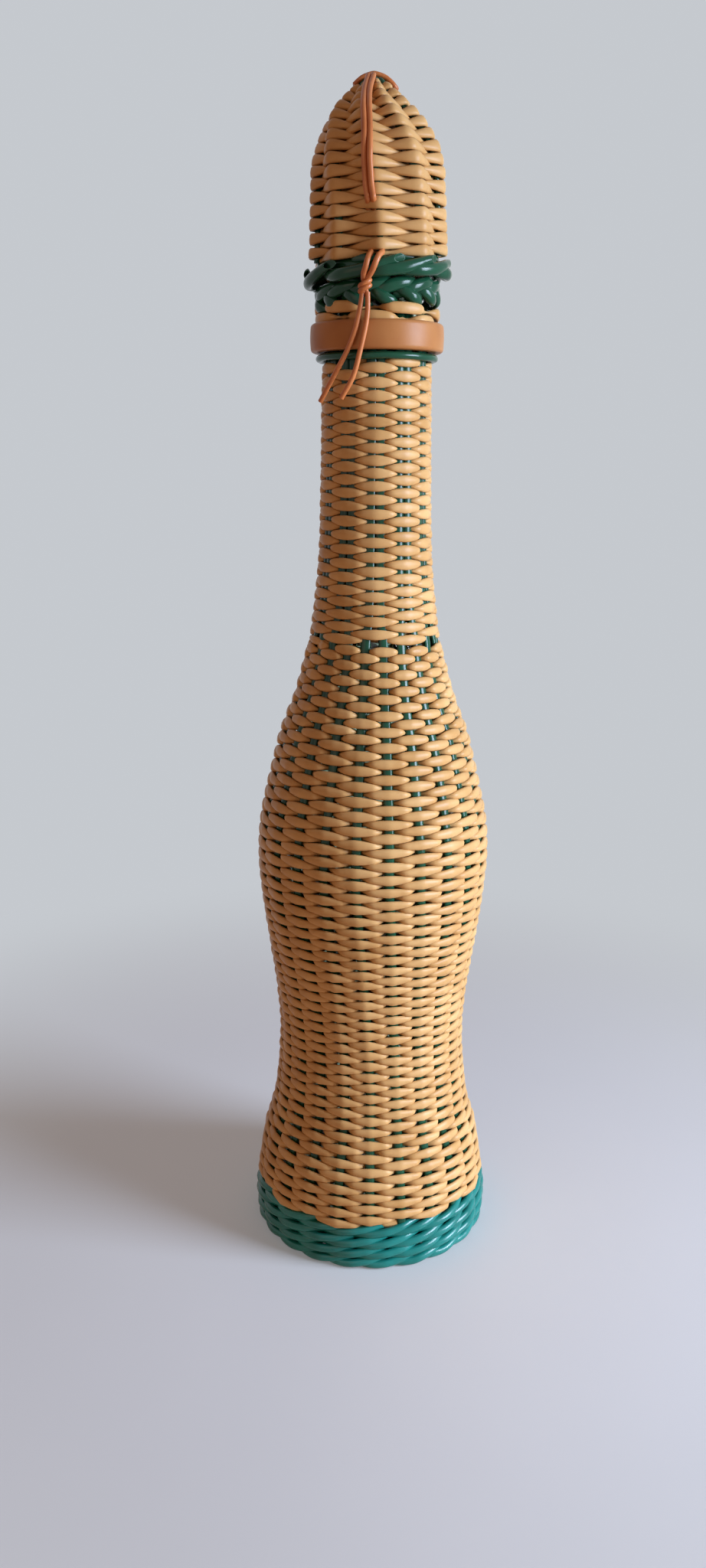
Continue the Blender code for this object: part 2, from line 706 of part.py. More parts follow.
def cord_run(name, plan, knot_side):
    """Strand from the crown down the cap, under its last rows, over the border to the knot."""
    lift = GAP + CORD_RADIUS
    top = float(cap_height(CORD_START))
    bottom = CAP_START + NOTCH_HEIGHT - GAP
    heights = [CAP_START + rise for rise, _ in plan]
    plan = list(zip(heights, (side for _, side in plan)))
    on_weave = cap_levels(bottom, top, RUN_BENDS)[::-1]
    points = [on_cap(float(smooth_curve(plan, z)), z, lift) for z in on_weave]
    under = -(WEAVE_WALL - CORD_RADIUS)
    for z in (CAP_START + NOTCH_HEIGHT - 4 * CORD_RADIUS, CAP_START + 2.5 * CORD_RADIUS):
        side = float(smooth_curve(plan, z))
        radius = float(cap_radius(z)) + under
        points.append((side, -math.sqrt(radius**2 - side**2), z))
    reach = BORDER_RADIUS - CAP_BORDER_MIDDLE + GAP + CORD_RADIUS
    end = KNOT_SIDE + knot_side
    start = plan[0][1]
    for i, turn in enumerate(TURNS_OVER_BORDER):
        side = start + (end - start) * i / len(TURNS_OVER_BORDER)
        radius = CAP_BORDER_MIDDLE + reach * math.cos(math.radians(turn))
        z = CAP_BORDER_HEIGHT + reach * math.sin(math.radians(turn))
        points.append((side, -math.sqrt(radius**2 - side**2), z))
    knot_top = KNOT_LEVEL + KNOT_HEIGHT / 2 + 2 * GAP
    points.append((end, -math.sqrt(KNOT_REACH**2 - end**2), knot_top))
    return tube(name, points, CORD_RADIUS, TAN, 1)


def cord_knot():
    mesh = bpy.data.meshes.new("cord_knot")
    bm = bmesh.new()
    bmesh.ops.create_uvsphere(bm, u_segments=10, v_segments=6, radius=KNOT_RADIUS)
    bmesh.ops.scale(bm, vec=(1, 1, KNOT_HEIGHT / 2 / KNOT_RADIUS), verts=bm.verts)
    bm.to_mesh(mesh)
    bm.free()
    knot = add_object("cord_knot", mesh, TAN)
    knot.location = (KNOT_SIDE, -math.sqrt(KNOT_REACH**2 - KNOT_SIDE**2), KNOT_LEVEL)


def tail(name, plan):
    """Free end of the cord, hanging over the collar."""
    radius = COLLAR_RADIUS + GAP + CORD_RADIUS
    points = []
    for drop, side in plan:
        x = KNOT_SIDE + side
        points.append((x, -math.sqrt(radius**2 - x**2), KNOT_LEVEL - drop))
    return tube(name, points, CORD_RADIUS, TAN, 1)


def crown_band():
    """Cord doubled over the crown from side to side."""
    lift = GAP + CORD_RADIUS
    half = CORD_SPACING / 2
    turns = np.linspace(-math.pi / 2, math.pi / 2, BAND_BENDS)
    across = [BAND_REACH * math.sin(turn) for turn in turns]

    def over(x, y):
        radius = math.hypot(x, y)
        z = float(cap_height(radius))
        slope = (float(cap_height(radius + STEP)) - z) / STEP
        size = math.hypot(1, slope)
        return (x - lift * slope / size * x / radius, y, z + lift / size)

    points = [over(x, -half) for x in across]
    points.append(over(BAND_REACH + half, 0))
    points += [over(x, half) for x in reversed(across)]
    return tube("crown_band", points, CORD_RADIUS, TAN, 1)


for item in list(bpy.data.objects):
    bpy.data.objects.remove(item)

parts = bpy.data.collections.new("woven_bottle")
cutters = bpy.data.collections.new("cutters")
bpy.context.scene.collection.children.link(parts)
bpy.context.scene.collection.children.link(cutters)

CREAM = material("cream_cane", (0.62, 0.42, 0.19), 0.38)
GREEN = material("green_cane", (0.015, 0.12, 0.085), 0.22)
TEAL = material("teal_cane", (0.01, 0.22, 0.17), 0.2)
BROWN = material("brown_plastic", (0.48, 0.17, 0.055), 0.4)
TAN = material("tan_cord", (0.60, 0.20, 0.07), 0.45)
GLASS = material("bottle_glass", (0.16, 0.26, 0.18), 0.08)
CORK = material("cork", (0.42, 0.26, 0.13), 0.85)

foot()
base_mat()
glass_bottle()
stakes()
woven_cover("body_weave", BODY_START, BODY_END, BODY_ROWS, single)
woven_cover("neck_weave", NECK_START, COVER_TOP, NECK_ROWS, paired)
neck_ring()
collar()
collar_rows()
mouth_braid()
cork()
cap_stakes()
cap_weave()
cap_border()
cord_run("cord_left", LEFT_RUN, -CORD_SPACING / 2)
cord_run("cord_right", RIGHT_RUN, CORD_SPACING / 2)
crown_band()
cord_knot()
tail("tail_left", LEFT_TAIL)
tail("tail_right", RIGHT_TAIL)
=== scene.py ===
"""The look of a glass bottle covered in woven plastic cane, with a woven cap on a cork.

Metres, +Z up. The front, where the cord hangs, looks towards -Y. An angle is in degrees from the
front and grows towards +X.
"""

import math

import bpy
import numpy as np
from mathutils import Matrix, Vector


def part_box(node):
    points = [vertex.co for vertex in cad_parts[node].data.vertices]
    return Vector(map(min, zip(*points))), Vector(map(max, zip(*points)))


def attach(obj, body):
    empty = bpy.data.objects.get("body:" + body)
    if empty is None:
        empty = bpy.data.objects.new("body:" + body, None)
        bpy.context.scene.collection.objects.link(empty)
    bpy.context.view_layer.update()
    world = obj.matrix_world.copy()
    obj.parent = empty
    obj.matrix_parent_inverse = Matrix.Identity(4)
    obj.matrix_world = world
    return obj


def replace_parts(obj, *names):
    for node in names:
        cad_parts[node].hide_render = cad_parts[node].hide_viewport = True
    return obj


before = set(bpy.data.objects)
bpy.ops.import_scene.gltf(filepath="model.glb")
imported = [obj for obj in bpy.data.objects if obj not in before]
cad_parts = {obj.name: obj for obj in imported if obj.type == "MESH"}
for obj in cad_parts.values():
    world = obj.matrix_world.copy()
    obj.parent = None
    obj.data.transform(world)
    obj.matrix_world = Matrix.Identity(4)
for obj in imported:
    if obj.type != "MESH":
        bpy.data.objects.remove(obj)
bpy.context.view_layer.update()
rng = np.random.default_rng(7)

# Camera, for a photograph of 922 x 2048 pixels
PHOTO_HEIGHT = 2048
FOCAL_PIXELS = 1600
CAMERA_DISTANCE = 0.4210
CAMERA_HEIGHT = 0.2823
CAMERA_PITCH = 15.1
CAMERA_YAW = 1.04
CAMERA_ROLL = -0.22
SENSOR = 36.0  # height of the camera's sensor in millimetres

# Cover of the bottle
STAKES = 22
FIRST_STAKE = 180 / STAKES
NECK_GROUPS = STAKES // 2
STAKE_WIDTH = 0.0033
STAKE_THICKNESS = 0.0017
STRAND_THICKNESS = 0.0016
STRAND_POWER = 0.8  # below 1 a strand's section is squarer than an ellipse
STRAND_WANDER = 0.00011  # how far a strand strays up and down
STRAND_UNEVEN = 0.00006  # how far a strand strays in and out
STRAND_TUCK = 0.0026  # how deep the ends of a strand go in
STAKE_DEPTH = STRAND_THICKNESS + STAKE_THICKNESS / 2
BEHIND_DEPTH = STAKE_DEPTH + (STAKE_THICKNESS + STRAND_THICKNESS) / 2
STAKE_SWAY = 0.0001
STAKE_BULGE = 0.0005  # how much further out a stake stands on the bare step
PAIR_SQUEEZE = 2.5  # degrees by which the stakes of a pair close up on the neck
TWIST = 8.2  # degrees that the stakes turn on the way down the lower body
TWIST_START = 0.142
TWIST_END = 0.064

# Foot
WALE_ROWS = 4
WALE_STRANDS = 3
WALE_WIDTH = 0.0030
WALE_THICKNESS = 0.0027
WALE_LIFT = 0.0046  # how far a strand rises while it lies in front of two stakes
WALE_CLEARANCE = 0.0002  # between the lowest strand and the table
WALE_TUCK = 0.003  # how deep the ends of a strand go in
WALE_DRIFT = 0.00012
# Depth of a strand's middle under the outline, over the three stakes of its step
WALE_DEPTH = (
    (0.0, 0.0054),
    (0.5, 0.0040),
    (1.0, 0.0020),
    (1.5, 0.0013),
    (2.0, 0.0020),
    (2.5, 0.0040),
    (3.0, 0.0054),
)
# Outline of the foot: height and radius
FOOT_OUTLINE = ((0.0, 0.0434), (0.0075, 0.0443), (0.0125, 0.0440), (0.0170, 0.0430))
MAT_STRAND = 0.0029
MAT_THICKNESS = 0.0014
MAT_START = 0.0015  # radius at which the twining of the mat starts
MAT_WAVE = 0.00045

# Neck furniture
COLLAR_WALL = 0.0044
COLLAR_CROWN = 0.00025  # how much the collar's outside bulges
COLLAR_EDGE = 0.0002
BRAID_FOLDS = 13
BRAID_START = -4.0  # angle at which the first lower strand of the plait comes out
BRAID_STRAND_WIDTH = 0.0040
BRAID_STRAND_THICKNESS = 0.0032
# An upper strand: share of a fold, depth under the outside, height over the middle or the top
BRAID_UPPER = (
    (-0.30, 0.0024, "middle", -0.0008),
    (0.05, 0.0012, "middle", 0.0),
    (0.50, 0.0001, "middle", 0.0012),
    (1.00, 0.0001, "top", 0.0003),
    (1.45, 0.0010, "top", 0.0005),
    (1.90, 0.0032, "top", -0.0003),
)
# A lower strand, the same way
BRAID_LOWER = (
    (-0.20, 0.0018, "middle", 0.0008),
    (0.10, 0.0004, "middle", 0.0),
    (0.40, -0.0002, "bottom", 0.0012),
    (0.70, 0.0002, "bottom", 0.0002),
    (0.98, 0.0014, "bottom", -0.0008),
)
# Share of the strand's full section from its start to its end
BRAID_UPPER_SIZE = ([0, 5, 27, 33], [0.7, 1, 1, 0.75])
BRAID_LOWER_SIZE = ([0, 6, 15, 22, 27, 29], [0.75, 1, 0.98, 0.72, 0.34, 0.10])
TILT = 0.0015  # how much lower the plaited border and the cap's rim are on the left
CROWN_LEAN = 0.0016  # how far the crown is drawn to the left
CROWN_LEAN_START = 0.372
CROWN_LEAN_END = 0.3895
CROWN_PINCH = 0.10  # share by which the crown is drawn in under the cord
CROWN_PINCH_START = 0.382

# Cap
CAP_STAKES = 9
CAP_PHASE = 2.0
CAP_STAKE_THICKNESS = 0.0020
CAP_STAKE_WIDTH = 0.0028
CAP_STAKE_PLAY = 0.0004  # between a stake and the strands in front of it
CAP_STAKE_TOP = 0.0052  # radius from which a stake is bent over to the middle
CAP_STAKE_YIELD = 0.0014  # how far the front stake goes in under the cord
BORDER_TALL = 0.0038
BORDER_THICK = 0.0030
BORDER_ENDS = (20, 53, 88, 133, 175, 215, 250, 283, 322)  # angles of the cut ends
# Course of a border tube: degrees before its end, millimetres under the outside, share of the rise
BORDER_COURSE = (
    (112, 4.0, 1.10),
    (98, 4.0, 1.00),
    (86, 3.9, 0.80),
    (74, 3.0, 0.25),
    (63, 1.4, -0.10),
    (53, 0.2, -0.16),
    (43, 0.0, -0.12),
    (33, 0.0, 0.00),
    (22, 0.0, 0.30),
    (11, -0.1, 0.62),
    (0, -0.9, 0.86),
)
BORDER_END_SIZE = 0.66  # share of the full section at the cut end
BORDER_WALL = 0.16  # wall of the tube, as a share of its radius
BORDER_BORE = 0.0060  # how deep the cut end is open
BORDER_SLANT = 1.6  # how far the cut runs back for each step outwards
NOTCH_HEIGHT = 0.0145
CAP_TWIST = -30.0  # degrees that the cap's stakes turn up to the crown
CAP_TWIST_RISE = 0.047
CAP_TWIST_POWER = 2.2

# Cord
CORD_RADIUS = 0.0008
CORD_GAP = 0.0003
CORD_SPACING = 0.0019
CORD_START = 0.0039  # distance from the axis at which the strands leave the crown
CORD_ACROSS = 0.38  # share of the border's height that the cord bends round
CORD_HIDDEN_DEPTH = 0.0050  # under the crests, where the cord runs behind the last rows
KNOT_RADIUS = 0.0021
KNOT_HEIGHT = 0.0046
KNOT_SIDE = -0.0038
KNOT_DROP = 0.0100
KNOT_WIDE = 0.00155
KNOT_DEEP = 0.00105
KNOT_TURNS = 1.9
BAND_REACH = 0.0067
BAND_DROP = 0.0010  # how much steeper the band falls than the crown under it

# Strands on the cap: height over the weave's lower edge, and how far to the side
LEFT_RUN = (
    (0.0000, -0.0021),
    (0.0140, -0.0031),
    (0.0180, -0.0038),
    (0.0253, -0.0043),
    (0.0317, -0.0043),
    (0.0386, -0.0038),
    (0.0465, -0.0030),
    (0.0530, -0.0015),
)
RIGHT_RUN = (
    (0.0000, 0.0013),
    (0.0140, -0.0014),
    (0.0180, -0.0021),
    (0.0253, -0.0026),
    (0.0317, -0.0026),
    (0.0386, -0.0021),
    (0.0465, -0.0013),
    (0.0530, 0.0002),
)
# Free tails: drop below the knot's middle, and how far to the side of it
LEFT_TAIL = (
    (0.0020, -0.0008),
    (0.0050, -0.0012),
    (0.0086, -0.0019),
    (0.0132, -0.0031),
    (0.0189, -0.0055),
    (0.0253, -0.0092),
    (0.0335, -0.0140),
)
RIGHT_TAIL = (
    (0.0020, 0.0008),
    (0.0050, 0.0009),
    (0.0080, 0.0008),
    (0.0115, 0.0003),
    (0.0172, -0.0010),
    (0.0260, -0.0034),
    (0.0327, -0.0072),
)

# Studio
PALE = (0.56, 0.585, 0.62, 1)  # surroundings as the camera sees them
ROOM = (1.0, 0.56, 0.38, 1)  # colour of the room's own light
ROOM_STRENGTH = 0.155
TABLE = (0.66, 0.41, 0.25, 1)  # colour that the floor throws back on the object
FLOOR_REACH = 6
FLOOR_FADE = (0.12, 0.38)  # distances between which the floor fades into the surroundings
FLOOR_FADE_LEAST = 0.25


def place(radius, angle, z):
    """Points at a radius, an angle in degrees and a height."""
    radius, angle, z = np.broadcast_arrays(radius, angle, z)
    turn = np.radians(angle)
    return np.stack([radius * np.sin(turn), -radius * np.cos(turn), z], axis=-1)


def unit(vectors):
    return vectors / np.linalg.norm(vectors, axis=-1, keepdims=True)


def smooth_path(points, count):
    """Evenly spaced points on a smooth curve through the given ones."""
    p = np.asarray(points, float)
    p = np.vstack([2 * p[0] - p[1], p, 2 * p[-1] - p[-2]])
    curve = []
    for i in range(1, len(p) - 2):
        t = np.linspace(0, 1, 12, endpoint=i == len(p) - 3)[:, None]
        rise = (p[i + 1] - p[i - 1]) / 2
        leave = (p[i + 2] - p[i]) / 2
        start = (1 + 2 * t) * (1 - t) ** 2 * p[i] + t * (1 - t) ** 2 * rise
        curve.append(start + t**2 * (3 - 2 * t) * p[i + 1] - t**2 * (1 - t) * leave)
    curve = np.vstack(curve)
    steps = np.linalg.norm(np.diff(curve, axis=0), axis=1)
    length = np.concatenate([[0], np.cumsum(steps)])
    at = np.linspace(0, length[-1], count)
    return np.stack([np.interp(at, length, curve[:, k]) for k in range(3)], axis=-1)


def twist(z):
    """How far the cover is turned at a height, in degrees."""
    return TWIST * np.clip((TWIST_START - np.asarray(z)) / (TWIST_START - TWIST_END), 0, 1)


def cap_twist(z):
    """How far the cap's stakes are turned at a height, in degrees."""
    share = np.clip((np.asarray(z) - CAP_START) / CAP_TWIST_RISE, 0, 1)
    return CAP_TWIST * share**CAP_TWIST_POWER


def crests(node):
    """Levels of a woven node's rows and the radius over their crests, from the bottom up.

    A row has points on every side, and lies further out than the lining between two rows.
    """
    points = np.array([v.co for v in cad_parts[node].data.vertices])
    radius = np.hypot(points[:, 0], points[:, 1])
    height = points[:, 2]
    sector = np.degrees(np.arctan2(points[:, 0], -points[:, 1])) // 40
    heights = np.unique(height)
    levels, over = [], []
    for group in np.split(heights, np.flatnonzero(np.diff(heights) > 2e-5) + 1):
        there = (height >= group[0]) & (height <= group[-1])
        if len(np.unique(sector[there])) >= 9:
            levels.append(group.mean())
            over.append(radius[there].max())
    levels, over = np.array(levels), np.array(over)
    keep = over > np.convolve(np.pad(over, 1, "edge"), [0.5, 0, 0.5], "valid") - 0.0006
    keep[-1] = True
    return levels[keep], over[keep]


class Surface:
    """Outline over the crests of a weave, addressed by row."""

    def __init__(self, levels, radii):
        self.levels, self.radii = np.asarray(levels), np.asarray(radii)
        self.rows = len(levels) - 1
        self.index = np.arange(-1, self.rows + 2)
        self.all_levels = self.beyond(self.levels)
        self.all_radii = self.beyond(self.radii)

    @staticmethod
    def beyond(values):
        """The values with one more at each end, in line with the last two."""
        return np.concatenate([[2 * values[0] - values[1]], values, [2 * values[-1] - values[-2]]])

    def at(self, row):
        """Radius and height over the crest of a row."""
        radius = np.interp(row, self.index, self.all_radii)
        return radius, np.interp(row, self.index, self.all_levels)

    def directions(self, row):
        """Outward and upward directions in the plane of radius and height."""
        ra, za = self.at(row - 0.6)
        rb, zb = self.at(row + 0.6)
        size = np.hypot(rb - ra, zb - za)
        up = (rb - ra) / size, (zb - za) / size
        return (up[1], -up[0]), up

    def pitch(self, row):
        """Height of a row along the surface."""
        ra, za = self.at(row - 0.5)
        rb, zb = self.at(row + 0.5)
        return np.hypot(rb - ra, zb - za)


body = Surface(*crests("body_weave"))
neck = Surface(*crests("neck_weave"))
cap = Surface(*crests("cap_weave"))
FOOT_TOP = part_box("foot_wale")[1].z
COVER_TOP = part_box("neck_weave")[1].z
RING_BOTTOM, RING_TOP = (corner.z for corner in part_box("neck_ring"))
RING_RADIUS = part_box("neck_ring")[1].x
COLLAR_BOTTOM, COLLAR_TOP = (corner.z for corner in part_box("collar_ring"))
COLLAR_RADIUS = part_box("collar_ring")[1].x
ROWS_BOTTOM, ROWS_TOP = (corner.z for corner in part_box("collar_rows"))
ROWS_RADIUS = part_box("collar_rows")[1].y
BRAID_BOTTOM, BRAID_TOP = (corner.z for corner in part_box("mouth_braid"))
BRAID_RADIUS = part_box("mouth_braid")[1].y
CAP_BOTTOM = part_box("cap_border_1")[0].z
BORDER_RADIUS = max(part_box(f"cap_border_{k}")[1].x for k in range(1, CAP_STAKES + 1))
CAP_START = cap.levels[0]
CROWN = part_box("crown_band")[1].z - 2 * CORD_RADIUS - CORD_GAP
KNOT_LEVEL = CAP_START - KNOT_DROP
KNOT_REACH = BRAID_RADIUS + CORD_GAP + KNOT_RADIUS


def settle(points):
    """The points as plait and cap really sit: lower on the left, and the crown drawn left."""
    points = np.array(points, float)
    z = points[..., 2].copy()
    share = np.interp(z, [ROWS_TOP, BRAID_BOTTOM, CAP_START, CAP_START + 0.012], [0, 1, 1, 0])
    rise = np.clip((z - CROWN_LEAN_START) / (CROWN_LEAN_END - CROWN_LEAN_START), 0, 1)
    points[..., 2] = z + TILT * share * points[..., 0] / BORDER_RADIUS
    pinch = np.clip((z - CROWN_PINCH_START) / (CROWN_LEAN_END - CROWN_PINCH_START), 0, 1)
    points[..., :2] *= (1 - CROWN_PINCH * pinch**2 * (3 - 2 * pinch))[..., None]
    points[..., 0] -= CROWN_LEAN * rise**2 * (3 - 2 * rise)
    return points


def add_piece(name, data, body_name):
    """Object with its place in its mesh, riding on a body."""
    made = bpy.data.objects.new(name, data)
    bpy.context.scene.collection.objects.link(made)
    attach(made, body_name)
    return made


def join(name, groups, look, body_name, closed=False):
    """One mesh of several tubes, each of rings of equal count; a closed tube has no ends."""
    points, faces, start = [], [], 0
    for rings in groups:
        count, sides = rings.shape[0], rings.shape[1]
        points.append(rings.reshape(-1, 3))
        j = np.arange(sides)
        k = (j + 1) % sides
        i = np.arange(count if closed else count - 1)[:, None]
        n = (i + 1) % count
        corners = (i * sides + j, i * sides + k, n * sides + k, n * sides + j)
        quads = np.stack(np.broadcast_arrays(*corners), axis=-1)
        faces += (quads.reshape(-1, 4) + start).tolist()
        if not closed:
            faces.append([start + m for m in range(sides)][::-1])
            faces.append([start + (count - 1) * sides + m for m in range(sides)])
        start += count * sides
    mesh = bpy.data.meshes.new(name)
    mesh.from_pydata(np.vstack(points).tolist(), [], faces)
    mesh.shade_smooth()
    mesh.materials.append(look)
    return add_piece(name, mesh, body_name)


def mesh_object(name, rings, look, body_name, closed=False):
    """Mesh of one tube."""
    return join(name, [rings], look, body_name, closed)


def sweep(path, outward, thick, tall, sides=12, power=1.0):
    """Rings of a strand along the path: thick along the outward direction, tall across it."""
    path = np.asarray(path, float)
    tangent = unit(np.gradient(path, axis=0))
    across = unit(np.cross(tangent, outward))
    facing = np.cross(across, tangent)
    psi = 2 * np.pi * np.arange(sides) / sides
    c = np.sign(np.cos(psi)) * np.abs(np.cos(psi)) ** power
    s = np.sign(np.sin(psi)) * np.abs(np.sin(psi)) ** power
    thick = np.broadcast_to(thick, len(path))[:, None, None] / 2
    tall = np.broadcast_to(tall, len(path))[:, None, None] / 2
    side = facing[:, None] * thick * c[None, :, None]
    return path[:, None] + side + across[:, None] * tall * s[None, :, None]


def radial(path):
    """Direction away from the axis at each point."""
    flat = np.array(path, float)
    flat[:, 2] = 0
    return unit(flat + 1e-9)


def hollow_end(rings, wall, depth, slant, count=16):
    """The rings with the last end cut open like a tube's, on the slant towards the outside.

    The slant fades out over the last count rings, so that none stands out past the cut.
    """
    rings = rings.copy()
    for number in range(count):
        ring = rings[-1 - number]
        middle = ring.mean(axis=0)
        back = unit(rings[-2 - number].mean(axis=0) - middle)
        reach = (ring - middle) @ radial(middle[None])[0]
        share = slant * (1 - number / count)
        rings[-1 - number] = ring + back * ((reach - reach.min())[:, None] * share)
        if number == 0:
            inwards = back
    last = rings[-1]
    middle = last.mean(axis=0)
    mouth = middle + (last - middle) * (1 - wall)
    inner = middle + (mouth - middle) * 0.8 + inwards * depth
    return np.concatenate([rings, [mouth], [inner]])


def weaver(name, surface, start, end, columns, climb, crest, look, body_name, slot, **shape):
    """One strand woven round the stakes, climbing to the left.

    start and end are rows, columns the stakes or groups of a turn and climb the rows of a turn.
    crest is a row and an angle at which the strand passes in front of a stake. Along the strand
    x runs from 0 in front of a stake to 1 behind the next. The shape's values are:
    flat, ridge and late, how the strand turns inwards between the two
    chord, how straight it runs from stake to stake, and soften, how many samples are evened out
    height, its most, and fill, the most as a share of the pitch
    waist, its height half-way, as a share of the pitch, and point, how it gets there
    tip and thinnest, where and to what height it thins out, and fanned, how it widens behind
    round and oval, how far its front is an ellipse, and where that ellipse ends
    """
    sides = shape.get("sides", 10)
    samples = shape.get("samples", 10)
    turn = shape.get("turn", twist)
    spacing = 360 / columns
    crest_row, crest_angle = crest
    first = (start - crest_row) / climb * columns
    last = (end - crest_row) / climb * columns
    u = np.linspace(first, last, int((last - first) * samples) + 1)
    row = crest_row + u * climb / columns

    def value(key, default):
        """A value of the shape; two of them run from the lower rows to the upper ones."""
        given = shape.get(key, default)
        if isinstance(given, tuple):
            given = np.interp(row / surface.rows, [0.55, 0.92], given)
        return given

    flat, ridge, round_share = value("flat", 0.1), value("ridge", 0.4), value("round", 0.0)
    oval, tip, thinnest = value("oval", 0.8), value("tip", 0.88), value("thinnest", 0.0011)
    knots = np.arange(math.floor(first) - 1, math.ceil(last) + 2)
    wander = np.interp(u, knots, rng.normal(0, 1, len(knots)))
    swell = np.interp(u, knots, rng.normal(0, 1, len(knots)))
    bulge = np.interp(u, knots, rng.normal(0, 1, len(knots)))
    radius, z = surface.at(row)
    (out_r, out_z), (up_r, up_z) = surface.directions(row)
    pitch = surface.pitch(row)
    x = np.abs((u + 1) % 2 - 1)  # 0 in front of a stake, 1 behind one
    y = np.clip((x - flat) / (0.95 - flat), 0, 1)
    front = ridge * (1 - y) + (1 - ridge) * (1 + np.cos(np.pi * y)) / 2
    y = np.clip((x - 0.5) / 0.42, 0, 1)
    front = front + value("late", 0.0) * (1 - y**2 * (3 - 2 * y) - front)
    half = math.radians(spacing / 2)
    sag = radius * (1 - math.cos(half) / np.cos(half * (2 * x - 1))) * value("chord", 1.0)
    away = BEHIND_DEPTH + (STRAND_THICKNESS / 2 - BEHIND_DEPTH) * front + sag
    kernel = np.ones(shape.get("soften", 1))
    away = np.convolve(np.pad(away, len(kernel) // 2, "edge"), kernel / kernel.sum(), "valid")
    most = np.minimum(value("height", 0.0035), pitch * shape.get("fill", 1.9)) * (1 + 0.03 * swell)
    meet = np.minimum(pitch * value("waist", 1.05), most)
    lens = most - (most - meet) * (2 * np.minimum(x, 0.5)) ** value("point", 1.2)
    after = np.clip((x - 0.5) / (tip - 0.5), 0, 1)
    lens = np.where(x < 0.5, lens, meet + (thinnest - meet) * after)
    power = np.log(np.clip(1 - meet / most, 0.05, 0.9)) / np.log(0.5 / oval)
    ellipse = np.maximum(most * np.clip(1 - (x / oval) ** power, 0, 1), thinnest)
    tall = lens + round_share * (ellipse - lens)
    beyond = np.clip((x - tip) / (1 - tip), 0, 1)
    tall = tall + (pitch - tall) * beyond * shape.get("fanned", 1.0)
    thick = STRAND_THICKNESS * (1 + 0.15 * np.sin(np.pi * x) ** 2)
    ends = np.clip(1 - (u - first) / 1.5, 0, 1) + np.clip(1 - (last - u) / 1.5, 0, 1)
    away = away + STRAND_UNEVEN * bulge + STRAND_TUCK * ends
    shift = STRAND_WANDER * wander
    r = radius - away * out_r + shift * up_r
    h = z - away * out_z + shift * up_z
    angle = crest_angle - u * spacing + turn(h)
    path = place(r, angle, h)
    if "settled" in shape:
        path = settle(path)
    outward = place(out_r, angle, out_z)
    rings = sweep(path, outward, thick, tall, sides, STRAND_POWER)
    return mesh_object(name, rings, look, body_name)


def covers():
    """The cream weave on body, neck, collar and cap."""
    cane = (CREAM, "bottle", "cream_cane")
    top = body.rows
    plain = {
        "flat": (0.0, 0.1),
        "ridge": (0.35, 0.15),
        "round": (0.0, 0.9),
        "late": (0.85, 1.0),
        "oval": 0.83,
        "samples": 12,
        "sides": 8,
        "height": (0.0036, 0.0035),
        "waist": (1.06, 0.98),
        "point": (1.0, 1.6),
        "thinnest": (0.0018, 0.0010),
        "chord": (0.8, 0.8),
        "tip": (0.97, 0.88),
        "fanned": 0.3,
    }
    ahead = (top, FIRST_STAKE)
    even = weaver("weaver_even", body, 0.0, top + 0.45, STAKES, 2, ahead, *cane, **plain)
    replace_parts(even, "body_weave")
    ahead = (top - 1 + 2 / STAKES, -FIRST_STAKE)
    weaver("weaver_odd", body, 0.0, top + 0.45, STAKES, 2, ahead, *cane, **plain)
    pairs = {
        "round": 1.0,
        "late": 1.0,
        "oval": 0.82,
        "chord": 0.5,
        "soften": 5,
        "samples": 18,
        "sides": 10,
        "tip": 0.88,
        "waist": 1.0,
        "thinnest": 0.0008,
        "fanned": 0.4,
    }
    rows = (-0.936, neck.rows + 0.1)
    on_neck = weaver(
        "neck_weaver", neck, *rows, NECK_GROUPS, 1, (1, 0), *cane, height=0.0035, **pairs
    )
    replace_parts(on_neck, "neck_weave")
    collar = Surface([ROWS_BOTTOM + 0.0002, ROWS_TOP], [ROWS_RADIUS, ROWS_RADIUS])
    round_collar = {**pairs, "height": 0.0036, "fill": 2.2}
    on_collar = weaver(
        "collar_weaver", collar, -0.3, 1.6, NECK_GROUPS, 1, (0.9, 28), *cane, **round_collar
    )
    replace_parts(on_collar, "collar_rows")
    fluted = {
        "flat": 0.08,
        "ridge": 0.6,
        "samples": 24,
        "height": 0.0039,
        "waist": 1.0,
        "tip": 0.78,
        "point": 1.3,
        "soften": 3,
        "turn": cap_twist,
        "settled": True,
    }
    rows = (-0.5, cap.rows + 0.1)
    ahead = (7, CAP_PHASE)
    on_cap = weaver(
        "cap_weaver", cap, *rows, CAP_STAKES, 1, ahead, CREAM, "cap", "cream_cane", **fluted
    )
    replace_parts(on_cap, "cap_weave")


def stake_line(surfaces, depth, count):
    """Radius, height and slope of a line at a depth under the crests of several surfaces."""
    levels = np.concatenate([s.levels for s in surfaces])
    radii = np.concatenate([s.radii for s in surfaces])
    order = np.argsort(levels)
    z = np.linspace(levels[0], levels[-1], count)
    r = np.interp(z, levels[order], radii[order])
    slope = np.gradient(r, z)
    size = np.hypot(1, slope)
    return r - depth / size, z + depth * slope / size, slope / size


